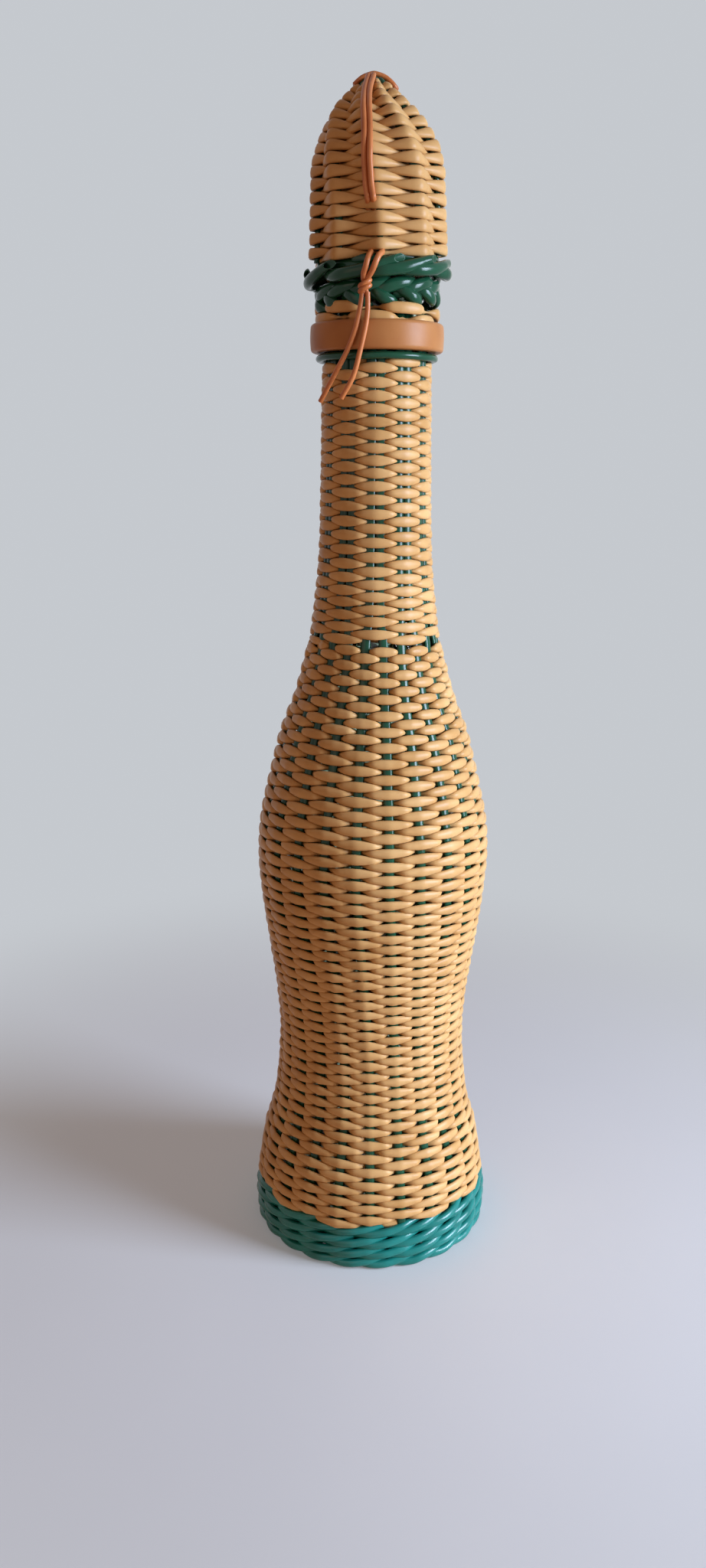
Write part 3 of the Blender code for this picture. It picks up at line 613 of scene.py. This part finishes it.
def stakes():
    """The upright tubes that show between the strands."""
    r, z, tip = stake_line([body, neck], STAKE_DEPTH, 100)
    keep = (z > body.levels[0]) & (z < COVER_TOP)
    r, z, tip = r[keep], z[keep], tip[keep]
    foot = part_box("stake_01")[0].z
    r = np.concatenate([[r[0] - 0.0004, r[0] - 0.0004], r, [r[-1], r[-1]]])
    z = np.concatenate([[foot, (foot + z[0]) / 2], z, [COVER_TOP + 0.001, ROWS_TOP]])
    tip = np.concatenate([[0, 0], tip, [0, 0]])
    bare = np.exp(-(((z - (body.levels[-1] + neck.levels[0]) / 2) / 0.0035) ** 2))
    squeeze = PAIR_SQUEEZE * np.interp(z, [neck.levels[0], neck.levels[0] + 0.008], [0, 1])
    for number in range(STAKES):
        angle = FIRST_STAKE + 360 / STAKES * number
        towards = -1 if number % 2 == 0 else 1
        sway = np.interp(z, np.linspace(0, COVER_TOP, 24), rng.normal(0, STAKE_SWAY, 24))
        turn = angle + towards * squeeze + np.degrees(sway / r) + twist(z)
        path = place(r + STAKE_BULGE * bare, turn, z)
        outward = place(np.sqrt(1 - tip**2), turn, -tip)
        rings = sweep(path, outward, STAKE_THICKNESS, STAKE_WIDTH, 12, 0.9)
        name = f"stake_{number + 1:02d}"
        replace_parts(mesh_object(f"{name}_tube", rings, GREEN, "bottle"), name)


def foot_wale():
    """Three-rod wale: each strand passes in front of two stakes and behind the third."""
    points = np.array([v.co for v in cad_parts["foot_wale"].data.vertices])
    reach = np.hypot(points[:, 0], points[:, 1]).max()
    pitch = FOOT_TOP / WALE_ROWS
    low, high = WALE_WIDTH / 2 + WALE_CLEARANCE, FOOT_TOP - WALE_WIDTH / 2 + 0.0009
    count = WALE_ROWS * STAKES
    u = np.linspace(0, count, count * 12 + 1)
    turn = u / STAKES
    step = np.clip((turn % 1 - 0.86) / 0.14, 0, 1)
    row = np.minimum(np.floor(turn) + step**2 * (3 - 2 * step), WALE_ROWS - 1)
    tuck = WALE_TUCK * (np.clip(1 - u, 0, 1) + np.clip(u - count + 1, 0, 1))
    groups = []
    for strand in range(WALE_STRANDS):
        phase = (u + strand) % WALE_STRANDS
        depth = np.interp(phase, *zip(*WALE_DEPTH))
        depth = np.convolve(np.pad(depth, 2, "edge"), [0.1, 0.2, 0.4, 0.2, 0.1], "valid")
        rise = np.interp(phase, [0, 0.35, 2.65, 3], [0, -0.5, 0.5, 0])
        knots = rng.normal(0, 1, count + 2)
        drift = WALE_DRIFT * np.interp(u, np.arange(count + 2), knots)
        z = np.clip((row + 0.5) * pitch + WALE_LIFT * rise + drift, low, high)
        outline = np.interp(z, *zip(*FOOT_OUTLINE)) * reach / FOOT_OUTLINE[1][1]
        path = place(outline - depth - tuck, u * 360 / STAKES - 180, z)
        swell = np.interp(u, np.arange(count + 2), rng.normal(1, 0.04, count + 2))
        groups.append(sweep(path, radial(path), WALE_THICKNESS, WALE_WIDTH * swell, 14, 1.0))
    made = join("wale_strands", groups, TEAL, "bottle")
    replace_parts(made, "foot_wale")


def base_mat():
    """Twining of the underside: one strand wound outwards over and under the spokes."""
    low, high = (corner.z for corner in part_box("base_mat"))
    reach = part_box("base_mat")[1].x
    turns = (reach - 2 * MAT_START) / MAT_STRAND
    t = np.linspace(0, turns, int(turns * 88))
    radius = MAT_START + MAT_STRAND * t
    wave = MAT_WAVE * np.cos(np.pi * t * STAKES / 2)
    path = place(radius, 360 * t, (low + high) / 2 + wave)
    up = np.tile([0.0, 0.0, 1.0], (len(path), 1))
    rings = sweep(path, up, MAT_THICKNESS, MAT_STRAND, 8, 0.9)
    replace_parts(mesh_object("base_twining", rings, TEAL, "bottle"), "base_mat")


def turned(name, outline, look, body_name, steps=96):
    """Smooth turned piece: the outline of radius and height is a closed loop."""
    r, z = (np.array(side, float) for side in zip(*outline))
    angles = np.arange(steps) * 360 / steps
    rings = place(r[None, :], angles[:, None], z[None, :])
    return mesh_object(name, rings[:, ::-1], look, body_name, closed=True)


def rounded(outline, count=6, share=0.28):
    """The closed outline with its corners cut round."""
    points = [np.array(p, float) for p in outline]
    out = []
    for a, b, c in zip(points[-1:] + points[:-1], points, points[1:] + points[:1]):
        if np.linalg.norm(a - b) < 1e-9 or np.linalg.norm(c - b) < 1e-9:
            out.append(tuple(b))
            continue
        cut = min(np.linalg.norm(a - b), np.linalg.norm(c - b)) * share
        start = b + (a - b) / np.linalg.norm(a - b) * cut
        end = b + (c - b) / np.linalg.norm(c - b) * cut
        for t in np.linspace(0, 1, count):
            out.append(tuple((1 - t) ** 2 * start + 2 * t * (1 - t) * b + t**2 * end))
    return out


def neck_furniture():
    """The green ring and the brown collar."""
    tube_radius = (RING_TOP - RING_BOTTOM) / 2
    middle = RING_RADIUS - tube_radius
    angle = np.linspace(0, 360, 145)[:-1]
    wobble = 0.00008 * np.sin(np.radians(angle * 5)) + 0.00005 * np.sin(np.radians(angle * 11 + 40))
    path = place(middle + 0 * angle, angle, (RING_TOP + RING_BOTTOM) / 2 + wobble)
    tangent = unit(np.roll(path, -1, axis=0) - np.roll(path, 1, axis=0))
    outward = radial(path)
    across = unit(np.cross(tangent, outward))
    psi = 2 * np.pi * np.arange(14) / 14
    rings = path[:, None] + outward[:, None] * tube_radius * np.cos(psi)[None, :, None]
    rings = rings + across[:, None] * tube_radius * np.sin(psi)[None, :, None]
    ring = mesh_object("neck_ring_tube", rings, GREEN, "bottle", closed=True)
    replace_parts(ring, "neck_ring")
    bore = COLLAR_RADIUS - COLLAR_WALL
    side = [
        (COLLAR_RADIUS - COLLAR_CROWN, COLLAR_BOTTOM + COLLAR_EDGE),
        (COLLAR_RADIUS, (COLLAR_BOTTOM + COLLAR_TOP) / 2),
        (COLLAR_RADIUS - COLLAR_CROWN, COLLAR_TOP - COLLAR_EDGE),
    ]
    outline = rounded([(bore, COLLAR_BOTTOM), *side, (bore, COLLAR_TOP)], 7, 0.3)
    collar = turned("collar_band", outline, BROWN, "bottle", 128)
    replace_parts(collar, "collar_ring")


def mouth_braid():
    """Plaited border: upper strands rise to the right over the rim, lower ones fall to a point."""
    levels = {
        "middle": (BRAID_BOTTOM + BRAID_TOP) / 2,
        "top": BRAID_TOP - BRAID_STRAND_WIDTH / 2,
        "bottom": BRAID_BOTTOM + BRAID_STRAND_WIDTH / 2 - 0.0010,
    }
    reach = BRAID_RADIUS - BRAID_STRAND_THICKNESS / 2
    groups = []
    period = 360 / BRAID_FOLDS
    for fold in range(BRAID_FOLDS):
        start = period * fold + BRAID_START + rng.normal(0, 1.2)
        for course, count, sizes in (
            (BRAID_UPPER, 34, BRAID_UPPER_SIZE),
            (BRAID_LOWER, 30, BRAID_LOWER_SIZE),
        ):
            shares, depths, names, rises = zip(*course)
            turn = np.array(shares) * period + start
            z = np.array([levels[name] + rise for name, rise in zip(names, rises)])
            path = smooth_path(settle(place(reach - np.array(depths), turn, z)), count)
            size = np.interp(np.arange(count), *sizes)
            thick, tall = BRAID_STRAND_THICKNESS * size, BRAID_STRAND_WIDTH * size
            groups.append(sweep(path, radial(path), thick, tall, 14, 0.95))
    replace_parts(join("mouth_plait", groups, GREEN, "bottle"), "mouth_braid")


def cap_border():
    """Ends of the cap's stakes, each laid outside under the one before and cut open at the top."""
    low = CAP_BOTTOM + BORDER_TALL / 2 - 0.0003
    high = CAP_START - BORDER_TALL / 2 + 0.0001
    outer = BORDER_RADIUS - BORDER_THICK / 2
    before, inside, share = (np.array(side) for side in zip(*BORDER_COURSE))
    radius = outer - inside / 1000
    size = np.interp(np.arange(60), [0, 40, 59], [1, 1, BORDER_END_SIZE])
    for number, end in enumerate(BORDER_ENDS):
        back = before + rng.normal(0, 1.2)
        path = smooth_path(settle(place(radius, end - back, low + (high - low) * share)), 60)
        rings = sweep(path, radial(path), BORDER_THICK * np.sqrt(size), BORDER_TALL * size, 20)
        rings = hollow_end(rings, BORDER_WALL, BORDER_BORE, BORDER_SLANT)
        name = f"cap_border_{number + 1}"
        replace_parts(mesh_object(f"{name}_tube", rings, GREEN, "cap"), name)


def cap_stakes():
    """Stakes of the cap, bent over at the crown."""
    depth = STRAND_THICKNESS + CAP_STAKE_THICKNESS / 2 + CAP_STAKE_PLAY
    r, z, _ = stake_line([cap], depth, 60)
    keep = r > CAP_STAKE_TOP
    r, z = r[keep], z[keep]
    for number in range(CAP_STAKES):
        angle = CAP_PHASE + 360 / CAP_STAKES * number
        line = [*zip(r[::4], z[::4]), (0.0034, CROWN - 0.0016), (0.0005, CROWN - 0.0011)]
        points = [place(a, angle + cap_twist(b), b) for a, b in line]
        if number == 0:
            inwards = np.array([0, CAP_STAKE_YIELD, 0])
            notch = CAP_START + NOTCH_HEIGHT
            points = [p + inwards if p[2] < notch else p for p in points]
        path = smooth_path(settle(points), 48)
        sideways = np.cross(unit(np.gradient(path, axis=0)), place(1, angle + 90, 0))
        rings = sweep(path, -sideways, CAP_STAKE_THICKNESS, CAP_STAKE_WIDTH, 10, 0.95)
        name = f"cap_stake_{number + 1}"
        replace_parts(mesh_object(f"{name}_tube", rings, GREEN, "cap"), name)


def dome_height(radius):
    """Height of the cap over its crests at a radius, up to the crown."""
    radii = np.concatenate([cap.radii, [0]])
    levels = np.concatenate([cap.levels, [CROWN]])
    return float(np.interp(radius, radii[::-1], levels[::-1]))


def on_cap(side, z, lift):
    """Point over the cap at a distance to the side, lifted square to its surface."""
    step = 0.0008
    radius = float(np.interp(z, cap.levels, cap.radii))
    low, high = np.interp([z - step, z + step], cap.levels, cap.radii)
    slope = (high - low) / (2 * step)
    size = math.hypot(1, slope)
    angle = math.asin(max(-1, min(1, side / radius)))
    half = math.pi / CAP_STAKES
    past = (angle - math.radians(CAP_PHASE + float(cap_twist(z))) + half) % (2 * half)
    from_ridge = abs(past - half)
    flute = 0.93
    flat = flute * math.sin(half) / (flute * math.sin(half - from_ridge) + math.sin(from_ridge))
    out = radius * flat + lift / size
    return (side, -math.sqrt(max(0, out**2 - side**2)), z - lift * slope / size)


def cord_path(plan, knot_side):
    """Strand from the crown down the cap, under its last rows, over the border to the knot."""
    lift = CORD_RADIUS + CORD_GAP / 2
    heights, sides = zip(*plan)
    top = dome_height(CORD_START)
    notch = CAP_START + NOTCH_HEIGHT
    ladder = np.linspace(0, 1, 12)
    levels = top - (top - notch) * (1 - (1 - ladder) ** 1.6)
    points = []
    for z in levels:
        side = float(np.interp(z - CAP_START, heights, sides))
        points.append(on_cap(side, z, lift))
    for z in (notch - 0.0034, CAP_START + 0.0020):
        side = float(np.interp(z - CAP_START, heights, sides))
        radius = float(np.interp(z, cap.levels, cap.radii)) - CORD_HIDDEN_DEPTH
        points.append((side, -math.sqrt(radius**2 - side**2), z))
    across = CORD_ACROSS * (CAP_START - CAP_BOTTOM)
    reach = across + CORD_GAP + CORD_RADIUS
    middle = BORDER_RADIUS - across
    height = CAP_BOTTOM + across
    end = KNOT_SIDE + knot_side
    start = plan[0][1]
    turns = (75, 45, 15, -15, -40)
    for i, turn in enumerate(turns):
        side = start + (end - start) * i / len(turns)
        radius = middle + reach * math.cos(math.radians(turn))
        z = height + reach * math.sin(math.radians(turn))
        points.append((side, -math.sqrt(radius**2 - side**2), z))
    knot_top = KNOT_LEVEL + KNOT_HEIGHT / 2 - 0.0006
    points.append((end * 0.4 + KNOT_SIDE * 0.6, -math.sqrt(KNOT_REACH**2 - end**2), knot_top))
    return points


def cords():
    """The cord over the cap, its knot and its two loose tails."""
    for name, plan, knot_side in (
        ("cord_left", LEFT_RUN, -CORD_SPACING / 2),
        ("cord_right", RIGHT_RUN, CORD_SPACING / 2),
    ):
        path = smooth_path(settle(cord_path(plan, knot_side)), 120)
        rings = sweep(path, radial(path), 2 * CORD_RADIUS, 2.25 * CORD_RADIUS, 12)
        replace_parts(mesh_object(f"{name}_run", rings, TAN, "cap"), name)
    across = BAND_REACH * np.sin(np.linspace(-math.pi / 2, math.pi / 2, 11))
    lift = CORD_RADIUS + CORD_GAP

    def over(x, y):
        return (x, y, dome_height(math.hypot(x, y)) + lift - BAND_DROP * (x / BAND_REACH) ** 2)

    band = [over(x, -CORD_SPACING / 2) for x in across]
    band.append(over(BAND_REACH + CORD_SPACING / 2, 0))
    band += [over(x, CORD_SPACING / 2) for x in across[::-1]]
    path = smooth_path(settle(band), 90)
    path[:, 2] = np.minimum(path[:, 2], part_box("crown_band")[1].z - CORD_RADIUS)
    up = np.tile([0.0, 0.0, 1.0], (len(path), 1))
    rings = sweep(path, up + radial(path) * 0.6, 2 * CORD_RADIUS, 2 * CORD_RADIUS * 1.1, 12)
    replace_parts(mesh_object("crown_loop", rings, TAN, "cap"), "crown_band")
    middle = np.array([KNOT_SIDE, -math.sqrt(KNOT_REACH**2 - KNOT_SIDE**2), KNOT_LEVEL])
    t = np.linspace(0, 1, 60)
    turn = 2 * math.pi * (KNOT_TURNS * t - 0.3)
    drop = 0.0014 - 0.0028 * t + 0.0005 * np.cos(turn)
    wrap = np.stack([KNOT_WIDE * np.cos(turn), -KNOT_DEEP * np.sin(turn), drop], axis=-1)
    wrap = middle + wrap
    away = unit(wrap - middle - np.stack([0 * t, 0 * t, wrap[:, 2] - middle[2]], axis=-1))
    rings = [sweep(wrap, away, 1.7 * CORD_RADIUS, 1.9 * CORD_RADIUS, 12)]
    thickness = 2 * CORD_RADIUS
    for side in (-0.0006, 0.0006):
        course = ((1, 0.0024), (0.4, 0.0012), (-0.4, -0.0012), (-1, -0.0024))
        core = smooth_path([middle + np.array([side * k, 0, h]) for k, h in course], 20)
        forward = np.tile([0.0, -1.0, 0.0], (20, 1))
        rings.append(sweep(core, forward, thickness, thickness, 12))
    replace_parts(join("knot_wraps", rings, TAN, "cap"), "cord_knot")
    radius = COLLAR_RADIUS + CORD_GAP + CORD_RADIUS
    for name, plan in (("tail_left", LEFT_TAIL), ("tail_right", RIGHT_TAIL)):
        points = []
        for drop, side in plan:
            x = KNOT_SIDE + side
            points.append((x, -math.sqrt(radius**2 - x**2), KNOT_LEVEL - drop))
        path = smooth_path(points, 30)
        curve = bpy.data.curves.new(f"{name}_cord", "CURVE")
        curve.dimensions = "3D"
        curve.bevel_depth = CORD_RADIUS
        curve.bevel_resolution = 4
        curve.use_fill_caps = True
        spline = curve.splines.new("POLY")
        spline.points.add(len(path) - 1)
        for target, point in zip(spline.points, path):
            target.co = (*point, 1.0)
        curve.materials.append(TAN)
        tail = add_piece(f"{name}_cord", curve, "cap")
        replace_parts(tail, name)


def material(name, roughness):
    """A node material and its shader."""
    made = bpy.data.materials.new(name)
    made.use_nodes = True
    shader = made.node_tree.nodes["Principled BSDF"]
    shader.inputs["Roughness"].default_value = roughness
    return made, shader


def seen_ray(tree):
    """1 for what the camera, a reflection or the glass shows, 0 for light that is scattered."""
    ray = tree.nodes.new("ShaderNodeLightPath")
    value = ray.outputs["Is Camera Ray"]
    for other in ("Is Glossy Ray", "Is Transmission Ray"):
        most = tree.nodes.new("ShaderNodeMath")
        most.operation = "MAXIMUM"
        tree.links.new(value, most.inputs[0])
        tree.links.new(ray.outputs[other], most.inputs[1])
        value = most.outputs["Value"]
    return value


def noise(tree, scale, detail=3.0, stretch=(1, 1, 1)):
    """Noise in the object's own space."""
    where = tree.nodes.new("ShaderNodeTexCoord")
    mapping = tree.nodes.new("ShaderNodeMapping")
    mapping.inputs["Scale"].default_value = stretch
    made = tree.nodes.new("ShaderNodeTexNoise")
    made.inputs["Scale"].default_value = scale
    made.inputs["Detail"].default_value = detail
    tree.links.new(where.outputs["Object"], mapping.inputs["Vector"])
    tree.links.new(mapping.outputs["Vector"], made.inputs["Vector"])
    return made.outputs["Fac"]


def ramp(tree, value, stops):
    """Colours over a value: stops are pairs of a position and a colour."""
    made = tree.nodes.new("ShaderNodeValToRGB")
    elements = made.color_ramp.elements
    while len(elements) < len(stops):
        elements.new(0.5)
    for element, (position, colour) in zip(elements, stops):
        element.position = position
        element.color = (*colour, 1)
    tree.links.new(value, made.inputs["Fac"])
    return made.outputs["Color"]


def bump(tree, shader, height, strength, distance):
    """Fine relief on a shader."""
    relief = tree.nodes.new("ShaderNodeBump")
    relief.inputs["Strength"].default_value = strength
    relief.inputs["Distance"].default_value = distance
    tree.links.new(height, relief.inputs["Height"])
    tree.links.new(relief.outputs["Normal"], shader.inputs["Normal"])


def plastic(name, dark, light, roughness, gloss_change, scuffs, shine):
    """Extruded plastic: tones drift along it, its gloss is uneven and it has fine scuffs."""
    made, shader = material(name, roughness)
    tree = made.node_tree
    tone = ramp(tree, noise(tree, 90, 4), [(0.3, dark), (0.7, light)])
    tree.links.new(tone, shader.inputs["Base Color"])
    change = tree.nodes.new("ShaderNodeMapRange")
    change.inputs["To Min"].default_value = roughness - gloss_change / 2
    change.inputs["To Max"].default_value = roughness + gloss_change
    tree.links.new(noise(tree, 260, 5), change.inputs["Value"])
    tree.links.new(change.outputs["Result"], shader.inputs["Roughness"])
    bump(tree, shader, noise(tree, 900, 4), scuffs, 0.001)
    shader.inputs["Specular IOR Level"].default_value = shine
    return made


def glass():
    """Pale green bottle glass, slightly uneven."""
    made, shader = material("bottle_glass", 0.05)
    tree = made.node_tree
    tone = ramp(tree, noise(tree, 20), [(0.3, (0.62, 0.78, 0.66)), (0.7, (0.70, 0.84, 0.74))])
    tree.links.new(tone, shader.inputs["Base Color"])
    shader.inputs["Transmission Weight"].default_value = 1.0
    shader.inputs["IOR"].default_value = 1.5
    bump(tree, shader, noise(tree, 60), 0.05, 0.001)
    return made


def cork_look():
    """Pressed cork: grains of several tones with dark pits."""
    made, shader = material("cork", 0.85)
    tree = made.node_tree
    where = tree.nodes.new("ShaderNodeTexCoord")
    grains = tree.nodes.new("ShaderNodeTexVoronoi")
    grains.inputs["Scale"].default_value = 700
    tree.links.new(where.outputs["Object"], grains.inputs["Vector"])
    tones = [(0.0, (0.22, 0.12, 0.055)), (1.0, (0.56, 0.37, 0.20))]
    tone = ramp(tree, grains.outputs["Color"], tones)
    pits = ramp(tree, noise(tree, 420, 5), [(0.36, (0.10, 0.05, 0.025)), (0.46, (1, 1, 1))])
    mix = tree.nodes.new("ShaderNodeMix")
    mix.data_type = "RGBA"
    mix.blend_type = "MULTIPLY"
    mix.inputs["Factor"].default_value = 1.0
    tree.links.new(tone, mix.inputs["A"])
    tree.links.new(pits, mix.inputs["B"])
    tree.links.new(mix.outputs["Result"], shader.inputs["Base Color"])
    bump(tree, shader, noise(tree, 420, 5), 0.5, 0.0005)
    return made


CREAM = plastic("cream_cane", (0.575, 0.315, 0.108), (0.73, 0.45, 0.183), 0.36, 0.10, 0.03, 0.22)
GREEN = plastic("green_cane", (0.008, 0.058, 0.027), (0.015, 0.090, 0.045), 0.17, 0.06, 0.02, 0.27)
TEAL = plastic("teal_cane", (0.008, 0.165, 0.135), (0.016, 0.250, 0.215), 0.22, 0.06, 0.02, 0.4)
BROWN = plastic("brown_plastic", (0.42, 0.165, 0.050), (0.50, 0.22, 0.072), 0.36, 0.10, 0.02, 0.2)
TAN = plastic("tan_cord", (0.50, 0.150, 0.040), (0.66, 0.23, 0.07), 0.34, 0.08, 0.03, 0.4)
GLASS = glass()
CORK = cork_look()


def carried_over():
    """CAD pieces that stay, with their finish."""
    for name, look in (("glass_bottle", GLASS), ("cork_stopper", CORK)):
        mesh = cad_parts[name].data
        mesh.materials.clear()
        mesh.materials.append(look)


def camera():
    """The photograph's own view."""
    data = bpy.data.cameras.new("camera")
    data.sensor_fit = "VERTICAL"
    data.sensor_height = SENSOR
    data.sensor_width = SENSOR
    data.lens = SENSOR * FOCAL_PIXELS / PHOTO_HEIGHT
    made = bpy.data.objects.new("camera", data)
    bpy.context.scene.collection.objects.link(made)
    made.location = (0, -CAMERA_DISTANCE, CAMERA_HEIGHT)
    tilt = (90 - CAMERA_PITCH, CAMERA_ROLL, CAMERA_YAW)
    made.rotation_euler = tuple(math.radians(a) for a in tilt)
    bpy.context.scene.camera = made


def area_light(name, where, target, size, power, colour, spread=180):
    """A soft lamp that faces a target."""
    data = bpy.data.lights.new(name, "AREA")
    data.spread = math.radians(spread)
    data.shape = "RECTANGLE"
    data.size, data.size_y = size
    data.energy = power
    data.color = colour
    made = bpy.data.objects.new(name, data)
    bpy.context.scene.collection.objects.link(made)
    made.location = where
    made.rotation_euler = (Vector(target) - Vector(where)).to_track_quat("-Z", "Y").to_euler()


def surroundings():
    """Pale to the eye, while their light is that of a warm room."""
    world = bpy.data.worlds.new("world")
    world.use_nodes = True
    bpy.context.scene.world = world
    tree = world.node_tree
    around = tree.nodes["Background"]
    around.inputs["Color"].default_value = ROOM
    around.inputs["Strength"].default_value = ROOM_STRENGTH
    seen = tree.nodes.new("ShaderNodeBackground")
    seen.inputs["Color"].default_value = PALE
    mix = tree.nodes.new("ShaderNodeMixShader")
    tree.links.new(seen_ray(tree), mix.inputs["Fac"])
    tree.links.new(around.outputs["Background"], mix.inputs[1])
    tree.links.new(seen.outputs["Background"], mix.inputs[2])
    tree.links.new(mix.outputs["Shader"], tree.nodes["World Output"].inputs["Surface"])


def floor_look():
    """Pale floor that takes the shadow near the object and fades into the surroundings."""
    look, shader = material("floor", 0.6)
    tree = look.node_tree
    tone = ramp(tree, noise(tree, 6), [(0.3, (0.74, 0.745, 0.75)), (0.7, (0.78, 0.785, 0.79))])
    warm = tree.nodes.new("ShaderNodeMix")
    warm.data_type = "RGBA"
    warm.inputs["A"].default_value = TABLE
    tree.links.new(seen_ray(tree), warm.inputs["Factor"])
    tree.links.new(tone, warm.inputs["B"])
    tree.links.new(warm.outputs["Result"], shader.inputs["Base Color"])
    where = tree.nodes.new("ShaderNodeTexCoord")
    distance = tree.nodes.new("ShaderNodeVectorMath")
    distance.operation = "LENGTH"
    tree.links.new(where.outputs["Object"], distance.inputs[0])
    fade = tree.nodes.new("ShaderNodeMapRange")
    fade.interpolation_type = "SMOOTHSTEP"
    fade.inputs["From Min"].default_value, fade.inputs["From Max"].default_value = FLOOR_FADE
    fade.inputs["To Min"].default_value = FLOOR_FADE_LEAST
    tree.links.new(distance.outputs["Value"], fade.inputs["Value"])
    shown = tree.nodes.new("ShaderNodeMath")
    shown.operation = "MULTIPLY"
    tree.links.new(fade.outputs["Result"], shown.inputs[0])
    tree.links.new(seen_ray(tree), shown.inputs[1])
    glow = tree.nodes.new("ShaderNodeEmission")
    glow.inputs["Color"].default_value = PALE
    blend = tree.nodes.new("ShaderNodeMixShader")
    tree.links.new(shown.outputs["Value"], blend.inputs["Fac"])
    tree.links.new(shader.outputs["BSDF"], blend.inputs[1])
    tree.links.new(glow.outputs["Emission"], blend.inputs[2])
    tree.links.new(blend.outputs["Shader"], tree.nodes["Material Output"].inputs["Surface"])
    return look


def studio():
    """A soft window light from the right, two weak fills, and the floor in pale surroundings."""
    surroundings()
    area_light("window", (0.79, -0.28, 0.34), (0, 0, 0.05), (0.4, 0.5), 3.5, (0.83, 0.98, 1.25), 90)
    area_light("fill", (-0.6, -0.9, 0.6), (0, 0, 0.2), (0.8, 0.8), 1.2, (1, 0.66, 0.45))
    area_light("back", (0.35, 0.95, 0.6), (0, 0, 0.2), (0.8, 0.8), 0.7, (1, 0.92, 0.84))
    mesh = bpy.data.meshes.new("floor")
    reach = FLOOR_REACH
    corners = [(-reach, -reach, 0), (reach, -reach, 0), (reach, reach, 0), (-reach, reach, 0)]
    mesh.from_pydata(corners, [], [(0, 1, 2, 3)])
    mesh.materials.append(floor_look())
    floor = bpy.data.objects.new("floor", mesh)
    bpy.context.scene.collection.objects.link(floor)


camera()
cords()
covers()
stakes()
foot_wale()
base_mat()
neck_furniture()
mouth_braid()
cap_border()
cap_stakes()
carried_over()
studio()

bpy.context.scene.view_settings.view_transform = "Standard"
